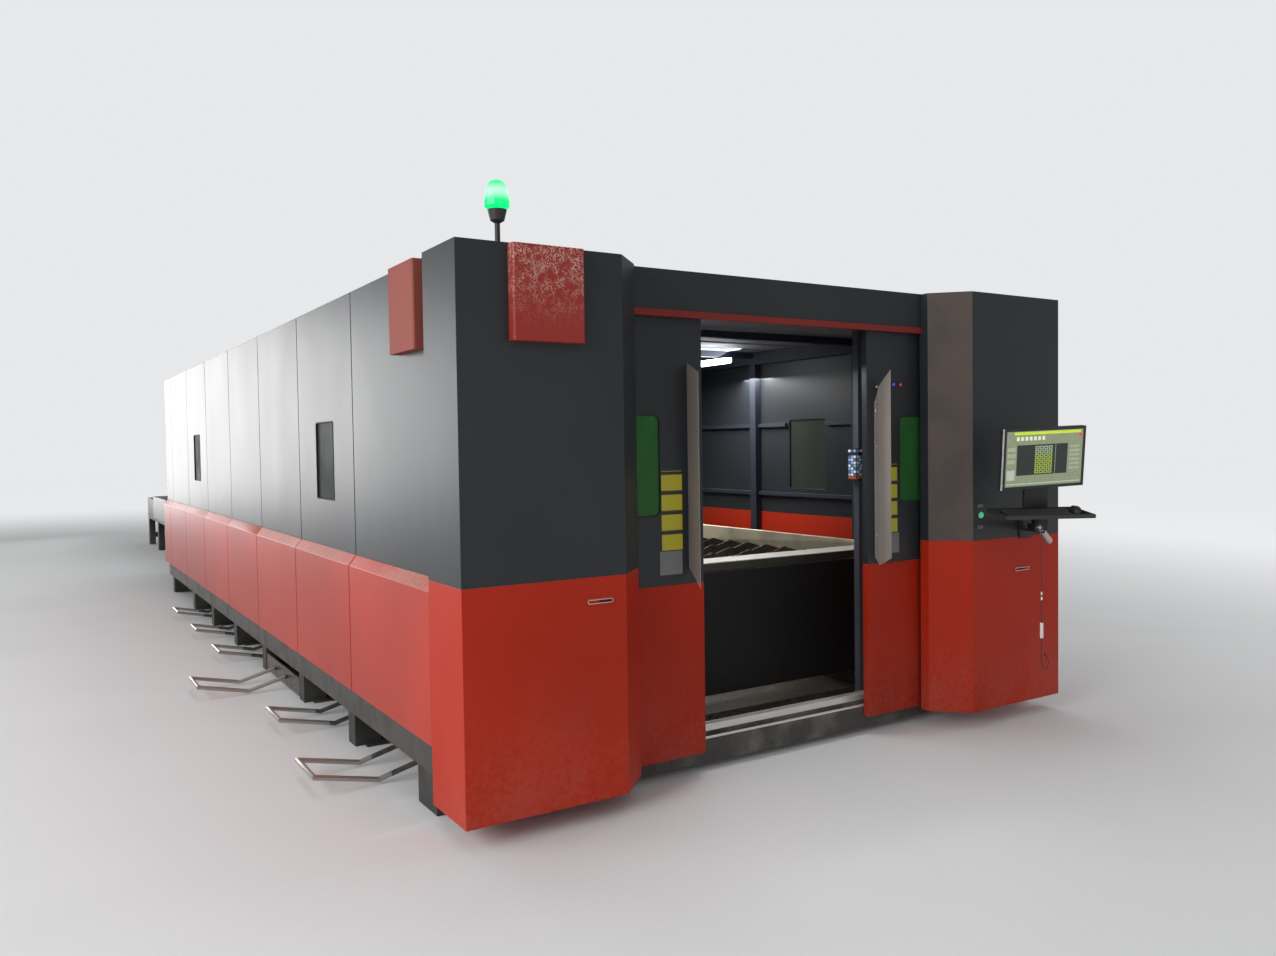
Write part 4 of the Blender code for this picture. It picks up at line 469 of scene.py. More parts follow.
def moulded_plastic(name, colour, roughness=0.42, grain=700.0):
    """Injection-moulded plastic with a fine spark grain and finger marks."""
    plastic = Finish(name)
    marks = plastic.noise(18.0, 4.0)
    plastic.surface(
        base_color=plastic.blend(plastic.band(marks, 0.4, 0.8), colour, tint(colour, 1.35)),
        roughness=roughness + marks * 0.14,
        normal=plastic.relief(plastic.noise(grain), 0.00008, 0.6))


def glow(name, colour, strength, core=None):
    """Something that gives light, brighter at its core where one is given."""
    light = Finish(name, roughness=0.25, emission_strength=strength)
    mottle = light.noise(45.0, 3.0)
    light.surface(base_color=light.blend(mottle, tint(colour, 0.30), tint(colour, 0.45)))
    if core is None:
        light.surface(emission_color=light.blend(mottle, tint(colour, 0.82), tint(colour, 1.12)))
    else:
        centre, reach, bright = core
        away = light.node(
            "ShaderNodeVectorMath", {"operation": "DISTANCE"}, {0: light.place, 1: centre}, "Value")
        near = 1.0 - light.band(away, reach * 0.45, reach)
        light.surface(emission_color=light.blend(near, colour, bright))


def flat_print(name, colour):
    """Printed foil with a faint mottle."""
    foil = Finish(name)
    mottle = foil.noise(60.0, 3.0)
    scuff = foil.band(foil.noise(14.0, 4.0), 0.55, 0.75)
    foil.surface(
        base_color=foil.blend(scuff * 0.25, foil.blend(mottle, tint(colour, 0.94), tint(colour, 1.04)),
                              tint(colour, 0.6)),
        roughness=mottle * 0.1 + 0.45)


def make_finishes(colours):
    """Make every finish once."""
    coat = colours.roughness
    powder_coat("graphite_coat", colours.graphite, coat)
    powder_coat("red_coat", colours.red, coat, 0.4, 1.1)
    powder_coat("column_red_coat", colours.red, 0.46, 0.4, gloss=0.16)
    # The doors get a darker copy of the red, as painted shade of their recess behind the columns
    powder_coat("door_red_painted_shade_coat", tint(colours.red, 0.85), 0.46, 0.4, gloss=0.14)
    # The right column's upper coat carries a painted reflection on its slanted chamfer
    powder_coat("graphite_coat_painted_reflection", colours.graphite, coat, film_and_painted_reflection=(0.105, 0.078, 0.066))
    powder_coat("frame_coat", colours.frame, 0.42)
    base_coat("base_coat", (0.062, 0.060, 0.054), 0.5)
    # The jamb's slate is lighter than the frame paint, partly painted light from the inside lamp
    powder_coat("jamb_coat", (0.056, 0.061, 0.076), 0.45, 0.6)
    powder_coat("inner_post_coat", (0.024, 0.029, 0.042), 0.55, 0.5, 0.3)
    powder_coat("roof_coat", (0.24, 0.26, 0.29), 0.80, 0.3)
    powder_coat("black_coat", (0.0036, 0.0036, 0.0040), 0.6, 0.10, 0.2)
    powder_coat("handle_coat", (0.27, 0.235, 0.21), 0.40, 0.6)
    low, high = corners("front_sign_box")
    wrinkle_paint("sign_coat", (0.30, 0.026, 0.018), low.z, high.z)
    powder_coat("side_sign_coat", (0.26, 0.062, 0.046), 0.7, 0.5)
    powder_coat("strip_coat", (0.20, 0.016, 0.012), 0.42)
    bed_coat("bed_coat", colours.bed)
    sill_steel("sill_steel")
    brushed_metal("guide_steel", (0.55, 0.55, 0.54), 0.26, (220.0, 2.0, 220.0), 0.5)
    brushed_metal("screw_steel", (0.72, 0.71, 0.69), 0.28, (90.0, 90.0, 90.0), 0.15)
    brushed_metal("lever_alloy", (0.60, 0.53, 0.50), 0.35, (120.0, 120.0, 9.0), 0.1)
    brushed_metal("nozzle_brass", (0.72, 0.42, 0.17), 0.26, (200.0, 200.0, 6.0), 0.2)
    dusty_zinc("drawer_zinc")
    scorched_steel("pallet_steel")
    # The door windows are lit by painted light and the side windows darkened by painted shade, through their
    # tints
    safety_window("window_green", colours.window, 0.45, 0.16)
    safety_window("side_window_green", colours.side_window, 0.40, 0.45, 0.0)
    moulded_plastic("gasket_rubber", (0.012, 0.012, 0.012), 0.62, 300.0)
    moulded_plastic("black_plastic", (0.018, 0.018, 0.019))
    moulded_plastic("key_plastic", (0.030, 0.030, 0.032), 0.5)
    moulded_plastic("grey_plastic", (0.33, 0.34, 0.34))
    moulded_plastic("white_plastic", (0.78, 0.78, 0.76), 0.35)
    moulded_plastic("silver_plastic", (0.52, 0.53, 0.54), 0.32)
    moulded_plastic("button_plate", (0.11, 0.11, 0.11), 0.3)
    moulded_plastic("tray_plastic", (0.030, 0.034, 0.030), 0.5)
    # Painted shade: a near-black finish for slots, screw sockets and vents, standing in for their shadowed
    # hollows
    Finish("painted_recess_shade", base_color=(0.004, 0.004, 0.004), roughness=0.8)
    flat_print("yellow_foil", (0.50, 0.43, 0.02))
    flat_print("dark_foil", (0.02, 0.02, 0.02))
    flat_print("grey_foil", (0.18, 0.185, 0.185))
    flat_print("orange_foil", (0.55, 0.10, 0.03))
    flat_print("blue_foil", (0.06, 0.13, 0.42))
    flat_print("pale_foil", (0.30, 0.46, 0.60))
    glow("lamp_glow", (0.92, 0.97, 1.0), 9.0)
    glow("button_glow", (0.01, 0.50, 0.20), 0.9)
    glow("blue_glow", (0.04, 0.09, 0.75), 0.8)
    glow("red_glow", (0.70, 0.03, 0.03), 0.6)
    low, high = corners("beacon_dome")
    glow("beacon_glow", (0.0, 0.66, 0.13), 1.9, ((low + high) / 2, 0.060, (0.88, 1.0, 0.93)))


# Shapes

CORNER_STEPS = 5


def box_into(mesh, low, high, slot=0):
    """Add a box between two corners."""
    result = bmesh.ops.create_cube(mesh, size=1.0)
    middle = (Vector(low) + Vector(high)) / 2
    size = Vector(high) - Vector(low)
    for vertex in result["verts"]:
        vertex.co = middle + Vector((vertex.co.x * size.x, vertex.co.y * size.y, vertex.co.z * size.z))
        for face in vertex.link_faces:
            face.material_index = slot


def bridge(mesh, near, far):
    """Make the faces between two loops of equally many vertices."""
    afters = [(step + 1) % len(near) for step in range(len(near))]
    return [mesh.faces.new((near[step], near[after], far[after], far[step]))
            for step, after in enumerate(afters)]


def close(mesh, faces, slot):
    """Turn a solid's faces outwards and give them its finish."""
    for face in faces:
        face.material_index = slot
    bmesh.ops.recalc_face_normals(mesh, faces=faces)


def prism_into(mesh, outline, start, end, slot=0):
    """Join an outline of points, moved by start and by end, into a closed solid."""
    near = [mesh.verts.new(Vector(point) + Vector(start)) for point in outline]
    far = [mesh.verts.new(Vector(point) + Vector(end)) for point in outline]
    close(mesh, [mesh.faces.new(near), mesh.faces.new(far), *bridge(mesh, near, far)], slot)


def lathe_into(mesh, profile, centre, axis, steps=24, slot=0):
    """Turn (radius, along) points about an axis through a centre."""
    turn = UP.rotation_difference(Vector(axis)).to_matrix()
    rings = []
    for radius, along in profile:
        ring = []
        for step in range(steps):
            angle = 2.0 * math.pi * step / steps
            spoke = Vector((radius * math.cos(angle), radius * math.sin(angle), along))
            ring.append(mesh.verts.new(Vector(centre) + turn @ spoke))
        rings.append(ring)
    faces = [mesh.faces.new(rings[0]), mesh.faces.new(rings[-1])]
    for near, far in zip(rings, rings[1:]):
        for face in bridge(mesh, near, far):
            face.smooth = True
            faces.append(face)
    close(mesh, faces, slot)


def rounded(width, height, radius):
    """A rounded rectangle round the origin as (first, second) pairs."""
    points = []
    for first, second, start in ((1, -1, -90), (1, 1, 0), (-1, 1, 90), (-1, -1, 180)):
        for step in range(CORNER_STEPS + 1):
            angle = math.radians(start + 90.0 * step / CORNER_STEPS)
            points.append((first * (width / 2 - radius) + radius * math.cos(angle),
                           second * (height / 2 - radius) + radius * math.sin(angle)))
    return points


def ring_into(mesh, outer, inner, start, end):
    """Make a closed frame between two outlines of equally many points."""
    loops = [[mesh.verts.new(Vector(point) + Vector(shift)) for point in outline]
             for outline, shift in ((outer, start), (outer, end), (inner, end), (inner, start))]
    faces = []
    for near, far in zip(loops, loops[1:] + loops[:1]):
        faces += bridge(mesh, near, far)
    close(mesh, faces, 0)


def linked(name, data):
    """Make an object of some data and put it in the scene."""
    item = bpy.data.objects.new(name, data)
    bpy.context.collection.objects.link(item)
    return item


def piece(name, mesh, finishes, body, bevel=0.0):
    """Turn a bmesh into a piece that rides on a body."""
    data = bpy.data.meshes.new(name)
    mesh.to_mesh(data)
    mesh.free()
    for finish in finishes:
        data.materials.append(FINISHES[finish])
    result = linked(name, data)
    if bevel:
        soften(result, bevel)
    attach(result, body)
    return result


def soften(item, width):
    """Round the sharp edges."""
    rounding = item.modifiers.new("rounded edges", "BEVEL")
    rounding.width = width
    rounding.segments = 2
    rounding.limit_method = "ANGLE"
    rounding.angle_limit = math.radians(35.0)
    rounding.use_clamp_overlap = False


def dress(finish, *nodes, edge=0.0):
    """Give CAD nodes a finish, and round their folded edges."""
    for name in nodes:
        item = frame["nodes"][name]
        for slot in item.material_slots:
            slot.material = FINISHES[finish]
        if edge:
            joined = item.modifiers.new("joined", "WELD")
            joined.merge_threshold = 0.00001
            flat = item.modifiers.new("flat faces", "DECIMATE")
            flat.decimate_type = "DISSOLVE"
            flat.angle_limit = math.radians(0.5)
            soften(item, edge)


def tree_node(tree, kind, links=(), settings=None, values=None):
    """Add a node; links are (own input, other node, its output)."""
    item = tree.nodes.new(kind)
    for name, setting in (settings or {}).items():
        setattr(item, name, setting)
    for name, value in (values or {}).items():
        item.inputs[name].default_value = value
    for own, other, output in links:
        tree.links.new(other.outputs[output], item.inputs[own])
    return item


def node_group(name, inputs):
    """Start a Geometry Nodes tree; gives it, its input node and a function that adds nodes."""
    tree = bpy.data.node_groups.new(name, "GeometryNodeTree")
    for way in ("INPUT", "OUTPUT"):
        tree.interface.new_socket("Geometry", in_out=way, socket_type="NodeSocketGeometry")
    for label, kind in inputs.items():
        tree.interface.new_socket(label, in_out="INPUT", socket_type="NodeSocket" + kind)
    return tree, tree.nodes.new("NodeGroupInput"), partial(tree_node, tree)


def screw_tree():
    """Put a screw head with a socket disc painted dark as shade on every point, square to the point's facing.
    """
    tree, entry, add = node_group("Screw heads", {
        "Radius": "Float", "Height": "Float", "Head": "Material", "Socket": "Material"})
    times = {"operation": "MULTIPLY"}
    crown = add("ShaderNodeMath", [(0, entry, "Radius")], times, {1: 0.72})
    recess = add("ShaderNodeMath", [(0, entry, "Radius")], times, {1: 0.42})
    head = add("GeometryNodeMeshCone", [
        ("Radius Bottom", entry, "Radius"), ("Radius Top", crown, 0), ("Depth", entry, "Height")],
        values={"Vertices": 14})
    drive = add("GeometryNodeMeshCylinder", [("Radius", recess, 0)],
                values={"Vertices": 6, "Depth": 0.0004})
    lift = add("ShaderNodeCombineXYZ", [("Z", entry, "Height")])
    raised = add("GeometryNodeTransform", [("Geometry", drive, "Mesh"), ("Translation", lift, 0)])
    head_set = add("GeometryNodeSetMaterial", [("Geometry", head, "Mesh"), ("Material", entry, "Head")])
    drive_set = add("GeometryNodeSetMaterial", [("Geometry", raised, 0), ("Material", entry, "Socket")])
    whole = add("GeometryNodeJoinGeometry", [("Geometry", head_set, 0), ("Geometry", drive_set, 0)])
    facing = add("GeometryNodeInputNamedAttribute", settings={"data_type": "FLOAT_VECTOR"},
                 values={"Name": "facing"})
    turn = add("FunctionNodeAlignRotationToVector", [("Vector", facing, "Attribute")], {"axis": "Z"})
    placed = add("GeometryNodeInstanceOnPoints", [
        ("Points", entry, "Geometry"), ("Instance", whole, 0), ("Rotation", turn, 0)])
    real = add("GeometryNodeRealizeInstances", [("Geometry", placed, 0)])
    add("NodeGroupOutput", [("Geometry", real, 0)])
    return tree


def key_tree():
    """Lay rows of tapered keys in a flat field round the origin."""
    tree, entry, add = node_group("Key field", {
        "Columns": "Int", "Rows": "Int", "Width": "Float", "Depth": "Float", "Key": "Float",
        "Height": "Float", "Finish": "Material"})
    field = add("GeometryNodeMeshGrid", [
        ("Vertices X", entry, "Columns"), ("Vertices Y", entry, "Rows"),
        ("Size X", entry, "Width"), ("Size Y", entry, "Depth")])
    top = add("ShaderNodeMath", [(0, entry, "Key")], {"operation": "MULTIPLY"}, {1: 0.8})
    cap = add("GeometryNodeMeshCone", [
        ("Radius Bottom", entry, "Key"), ("Radius Top", top, 0), ("Depth", entry, "Height")],
        values={"Vertices": 4})
    square = add("GeometryNodeTransform", [("Geometry", cap, "Mesh")],
                 values={"Rotation": (0.0, 0.0, math.pi / 4)})
    placed = add("GeometryNodeInstanceOnPoints", [("Points", field, "Mesh"), ("Instance", square, 0)])
    real = add("GeometryNodeRealizeInstances", [("Geometry", placed, 0)])
    painted = add("GeometryNodeSetMaterial", [("Geometry", real, 0), ("Material", entry, "Finish")])
    add("NodeGroupOutput", [("Geometry", painted, 0)])
    return tree


def grown(name, tree, carrier, values, body, matrix=None):
    """Run a Geometry Nodes tree on a carrier mesh and keep its result as a plain piece."""
    source = linked(name + "_carrier", carrier)
    modifier = source.modifiers.new("nodes", "NODES")
    modifier.node_group = tree
    sockets = {item.name: item.identifier for item in tree.interface.items_tree
               if item.in_out == "INPUT"}
    for label, value in values.items():
        modifier[sockets[label]] = value
    graph = bpy.context.evaluated_depsgraph_get()
    data = bpy.data.meshes.new_from_object(source.evaluated_get(graph), depsgraph=graph)
    data.name = name
    bpy.data.objects.remove(source)
    if matrix is not None:
        data.transform(matrix)
    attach(linked(name, data), body)


def screws(name, body, tree, places, radius):
    """Set screw heads that face the front at the given points."""
    carrier = bpy.data.meshes.new(name + "_points")
    carrier.from_pydata([tuple(point) for point in places], [], [])
    facing = carrier.attributes.new("facing", "FLOAT_VECTOR", "POINT")
    for item in facing.data:
        item.vector = (0, -1, 0)
    grown(name, tree, carrier, {
        "Radius": radius, "Height": radius * 0.55,
        "Head": FINISHES["screw_steel"], "Socket": FINISHES["painted_recess_shade"]}, body)


# Console placement

def tray_matrix():
    """Placement of the operator tray; its own -Y side faces the operator."""
    turn = Matrix.Rotation(math.radians(TRAY_TURN), 4, "Z")
    tilt = Matrix.Rotation(math.radians(TRAY_TILT), 4, "X")
    return Matrix.Translation(at(*TRAY_PLACE)) @ turn @ tilt


def screen_matrix():
    """Placement of the monitor above its stand."""
    turn = Matrix.Rotation(math.radians(SCREEN_TURN), 4, "Z")
    return tray_matrix() @ Matrix.Translation(SCREEN_PLACE) @ turn


def moved_piece(name, mesh, matrix, finishes, body):
    """Place a whole bmesh and make it a piece."""
    bmesh.ops.transform(mesh, matrix=matrix, verts=mesh.verts)
    piece(name, mesh, finishes, body)


def smooth_route(points, count):
    """Evenly spaced points of a smooth curve through the route's own points."""
    knots = [Vector(point) for point in points]
    fine = []
    for index in range(len(knots) - 1):
        before = knots[max(index - 1, 0)]
        start, end = knots[index], knots[index + 1]
        after = knots[min(index + 2, len(knots) - 1)]
        for step in range(20):
            t = step / 20
            fine.append(0.5 * (2 * start + (end - before) * t
                               + (2 * before - 5 * start + 4 * end - after) * t ** 2
                               + (3 * start - before - 3 * end + after) * t ** 3))
    fine.append(knots[-1])
    lengths = [0.0]
    for near, far in zip(fine, fine[1:]):
        lengths.append(lengths[-1] + (far - near).length)
    result = []
    position = 0
    for index in range(count):
        target = lengths[-1] * index / (count - 1)
        while position < len(fine) - 2 and lengths[position + 1] < target:
            position += 1
        span = lengths[position + 1] - lengths[position]
        share = (target - lengths[position]) / span if span else 0.0
        result.append(fine[position].lerp(fine[position + 1], min(max(share, 0.0), 1.0)))
    return result


# Operators

class CUTTER_OT_camera(bpy.types.Operator):
    """Set the camera where the machine is seen from its front left corner"""
    bl_idname = "cutter.camera"
    bl_label = "Camera"

    def execute(self, context):
        data = bpy.data.cameras.new("camera")
        data.sensor_width = 36.0
        data.lens = FOCAL_PIXELS / IMAGE_WIDTH * data.sensor_width
        data.clip_end = 200.0
        camera = linked("camera", data)
        forward = Vector((math.sin(CAMERA_YAW) * math.cos(CAMERA_PITCH),
                          math.cos(CAMERA_YAW) * math.cos(CAMERA_PITCH), math.sin(CAMERA_PITCH)))
        level = Vector((math.cos(CAMERA_YAW), -math.sin(CAMERA_YAW), 0.0))
        upright = level.cross(forward)
        right = level * math.cos(CAMERA_ROLL) + upright * math.sin(CAMERA_ROLL)
        up = upright * math.cos(CAMERA_ROLL) - level * math.sin(CAMERA_ROLL)
        turn = Matrix((right, up, -forward)).transposed().to_4x4()
        camera.matrix_world = Matrix.Translation(at(*CAMERA_PLACE)) @ turn
        context.scene.camera = camera
        return {"FINISHED"}


class CUTTER_OT_cord(bpy.types.Operator):
    """Hang the thin data cord under the console, with its barrels and its plug"""
    bl_idname = "cutter.cord"
    bl_label = "Hanging cord"

    def execute(self, context):
        points = [at(*point) for point in smooth_route(CORD_ROUTE, CORD_POINTS)]
        curve = bpy.data.curves.new("data_cord", "CURVE")
        curve.dimensions = "3D"
        curve.bevel_depth = CORD_DIAMETER / 2
        curve.bevel_resolution = 2
        curve.use_fill_caps = True
        curve.materials.append(FINISHES["black_plastic"])
        spline = curve.splines.new("POLY")
        spline.points.add(len(points) - 1)
        for target, point in zip(spline.points, points):
            target.co = (*point, 1.0)
        cord = linked("data_cord", curve)
        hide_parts("hanging_cord")
        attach(cord, "console")
        barrels = bmesh.new()
        for place in BARREL_PLACES:
            lathe_into(barrels, [(0.0026, 0.0), (0.0042, 0.002), (0.0042, 0.016), (0.0026, 0.018)],
                       at(*place), UP, 14)
        sleeves = piece("cord_barrels", barrels, ["white_plastic"], "console")
        plug = bmesh.new()
        lathe_into(plug, [(0.0028, -0.008), (0.0046, -0.002), (0.0046, 0.012), (0.0034, 0.013),
                          (0.0034, 0.02)], points[-1], (points[-1] - points[-3]).normalized(), 14)
        tip = piece("cord_plug", plug, ["black_plastic"], "console")
        return {"FINISHED"}


class CUTTER_OT_sheet_metal(bpy.types.Operator):
    """Paint the enclosure, the doors, the columns, the frame and the other CAD pieces"""
    bl_idname = "cutter.sheet_metal"
    bl_label = "Sheet metal"

    def execute(self, context):
        edge = context.scene.cutter_fittings.edge
        dress("graphite_coat", "left_upper_wall", "right_upper_wall", "left_column_upper",
              "left_door_upper", "right_door_upper", "door_header", "rear_wall", edge=edge)
        dress("graphite_coat_painted_reflection", "right_column_upper", edge=edge)
        dress("roof_coat", "roof")
        dress("red_coat", "left_lower_wall", "right_lower_wall", edge=edge)
        dress("column_red_coat", "left_column_lower", "right_column_lower", edge=edge)
        dress("door_red_painted_shade_coat", "left_door_lower", "right_door_lower", edge=edge)
        dress("strip_coat", "header_strip", edge=edge)
        dress("sign_coat", "front_sign_box", edge=0.0012)
        dress("side_sign_coat", "side_sign_box", edge=0.0012)
        dress("base_coat", "base_frame", edge=0.0015)
        dress("jamb_coat", "door_frame", edge=0.0015)
        dress("inner_post_coat", "enclosure_frame", edge=0.0015)
        dress("frame_coat", "pallet_changer", "gantry_beam", "head_carriage", "console_bracket",
              "console_arm", edge=0.0015)
        dress("handle_coat", "left_door_handle", "right_door_handle", edge=0.0006)
        dress("sill_steel", "door_threshold", edge=0.001)
        dress("window_green", "left_door_window", "right_door_window")
        dress("side_window_green", "left_front_window", "left_rear_window", "right_front_window")
        dress("bed_coat", "bed_frame", edge=0.0025)
        dress("black_coat", "bed_front_cover", edge=0.001)
        dress("guide_steel", "left_gantry_rail", "right_gantry_rail", edge=0.001)
        dress("pallet_steel", "upper_pallet", "lower_pallet")
        dress("drawer_zinc", *["scrap_drawer_%d" % number for number in range(1, 7)], edge=0.001)
        dress("grey_plastic", "cutting_head", edge=0.002)
        dress("nozzle_brass", "nozzle")
        dress("tray_plastic", "console_tray", edge=0.001)
        dress("black_plastic", "beacon_base", "pendant", "monitor", "monitor_stand", "keyboard",
              "mouse", edge=0.001)
        frame["nodes"]["mouse"].data.shade_smooth()
        dress("white_plastic", "cord_adapter")
        dress("beacon_glow", "beacon_dome")
        dress("lamp_glow", "interior_lamp")
        dress("button_glow", "start_button")
        return {"FINISHED"}


def window_lip(node, body, axis, face, facing, radius, lip):
    """Rubber lip round a pane whose face lies across X (axis 0) or across Y (axis 1)."""
    low, high = corners(node)
    size = high - low
    middle = (low + high) / 2
    middle[axis] = face
    across, outward = Vector(), Vector()
    across[1 - axis] = 1.0
    outward[axis] = facing

    def outline(grow):
        return [middle + across * first + UP * second
                for first, second in rounded(size[1 - axis] + 2 * grow, size.z + 2 * grow, radius + grow)]

    mesh = bmesh.new()
    ring_into(mesh, outline(lip), outline(-lip), outward * -0.004, outward * 0.0025)
    piece(node + "_lip", mesh, ["gasket_rubber"], body, 0.0008)


class CUTTER_OT_windows(bpy.types.Operator):
    """Lay rubber lips round the safety windows"""
    bl_idname = "cutter.windows"
    bl_label = "Window lips"

    def execute(self, context):
        lip = context.scene.cutter_fittings.gasket / 2
        for node in ("left_front_window", "left_rear_window", "right_front_window"):
            side = LEFT if node.startswith("left") else RIGHT
            window_lip(node, "machine", 0, MIDDLE + side * WALL_FACE, side, 0.012, lip)
        for name in SIDE_NAMES.values():
            window_lip(name + "_door_window", name + "_door", 1, FRONT + DOOR_FACE, -1.0, 0.03, lip)
        return {"FINISHED"}


class CUTTER_OT_doors(bpy.types.Operator):
    """Stick the blank label fields on the doors, and set the indicator lights and the screws"""
    bl_idname = "cutter.doors"
    bl_label = "Door fittings"

    def execute(self, context):
        for side, name in SIDE_NAMES.items():
            self.label_fields(side, name + "_door")
        lights = bmesh.new()
        for slot, x in enumerate(INDICATORS, 1):
            centre = at(x, DOOR_FACE, INDICATOR_HEIGHT)
            lathe_into(lights, [(0.013, -0.0005), (0.013, 0.003), (0.0105, 0.0045), (0.0095, 0.0035)],
                       centre, TO_FRONT)
            lathe_into(lights, [(0.0092, 0.002), (0.0092, 0.0045), (0.0075, 0.0075), (0.004, 0.0088)],
                       centre, TO_FRONT, 20, slot)
        piece("door_indicators", lights, ["black_plastic", "blue_glow", "red_glow"], "right_door")
        radius = context.scene.cutter_fittings.screw_radius
        heads = screw_tree()
        for side, name in SIDE_NAMES.items():
            x = side * (DOOR_EDGE[side] + HANDLE_INSET)
            places = [at(x, HANDLE_FACE, HANDLE_MIDDLE + offset) for offset in (-0.36, -0.12, 0.12, 0.36)]
            screws(name + "_door_handle_screws", name + "_door", heads, places, radius)
        domes = [at(x, HANDLE_FACE, z) for x, z in HANDLE_DOMES]
        screws("handle_domes", "right_door", heads, domes, radius * 1.7)
        return {"FINISHED"}

    def label_fields(self, side, body):
        """Yellow fields between dark bands, over a grey one."""
        near = side * (DOOR_EDGE[side] + LABEL_INSET[side])
        far = near + side * LABEL_WIDTH
        low, high = sorted((near, far))
        mesh = bmesh.new()

        def band(bottom, top):
            box_into(mesh, at(low, DOOR_FACE - 0.0009, bottom), at(high, DOOR_FACE, top), 1)

        box_into(mesh, at(low, DOOR_FACE - 0.0006, LABEL_LOW), at(high, DOOR_FACE + 0.0005, LABEL_TOP))
        for index in range(4):
            top = LABEL_TOP - 0.0125 - LABEL_PITCH * index
            band(top - 0.0155, top)
            band(top - LABEL_PITCH + 0.0005, top - LABEL_PITCH + 0.004)
        band(LABEL_TOP - 0.010, LABEL_TOP)
        low, high = sorted((near + side * 0.002, far + side * 0.012))
        box_into(mesh, at(low, DOOR_FACE - 0.0007, 0.98), at(high, DOOR_FACE + 0.0005, LABEL_LOW - 0.001), 2)
        piece(body + "_label_fields", mesh, ["yellow_foil", "dark_foil", "grey_foil"], body)


class CUTTER_OT_column_fittings(bpy.types.Operator):
    """Add the latch slots, the button's bezel and the small plates on the columns"""
    bl_idname = "cutter.column_fittings"
    bl_label = "Column fittings"

    def execute(self, context):
        for side, x, z in LATCHES:
            mesh = bmesh.new()
            ring_into(mesh, self.oval(x, z, 0.124, 0.018, 0.0088), self.oval(x, z, 0.1195, 0.0135, 0.0066),
                      (0, -0.0074, 0), (0, -0.004, 0))
            prism_into(mesh, self.oval(x - side * 0.022, z, 0.062, 0.007, 0.0034),
                       (0, -0.0076, 0), (0, -0.006, 0), 1)
            piece(SIDE_NAMES[side] + "_latch", mesh, ["screw_steel", "painted_recess_shade"], "machine")
        mesh = bmesh.new()
        lathe_into(mesh, [(0.0185, -0.0003), (0.0185, 0.003), (0.0165, 0.0045), (0.0140, 0.0045),
                          (0.0138, 0.001)], at(*BUTTON_PLACE), TO_FRONT, 32)
        piece("button_bezel", mesh, ["screw_steel"], "machine")
        mesh = bmesh.new()
        for z in BUTTON_PLATES:
            prism_into(mesh, self.oval(BUTTON_PLACE[0] - 0.003, z, 0.044, 0.018, 0.003),
                       (0, -0.0012, 0), (0, 0.0003, 0))
        piece("button_plates", mesh, ["button_plate"], "machine", 0.0003)
        self.pendant_keys()
        return {"FINISHED"}

    def oval(self, x, z, width, height, radius):
        """A rounded rectangle on the columns' front."""
        return [at(x + first, 0.0, z + second) for first, second in rounded(width, height, radius)]

    def pendant_keys(self):
        """Plates with rows of small keys on the two sides of the pendant that face the doorway."""
        low, high = corners("pendant")
        size = high - low
        inks = ["black_plastic", "white_plastic", "pale_foil", "blue_foil", "orange_foil"]
        rows = (1, 0, 3, 2, 3, 1, 2, 3, 2, 4)
        step = size.z * 0.92 / len(rows)
        mesh = bmesh.new()
        for index, ink in enumerate(rows):
            top = high.z - size.z * 0.04 - step * index
            bottom = top - step * 0.80
            for column in range(3):
                shade = ink if ink in (0, 4) else 1 + (ink + column) % 3
                share = 0.10 + 0.28 * column
                x, y = low.x + size.x * share, low.y + size.y * share
                box_into(mesh, (low.x - 0.0012, y, bottom), (low.x + 0.0003, y + size.y * 0.22, top), shade)
                box_into(mesh, (x, low.y - 0.0012, bottom), (x + size.x * 0.22, low.y + 0.0003, top), shade)
        piece("pendant_keys", mesh, inks, "machine")


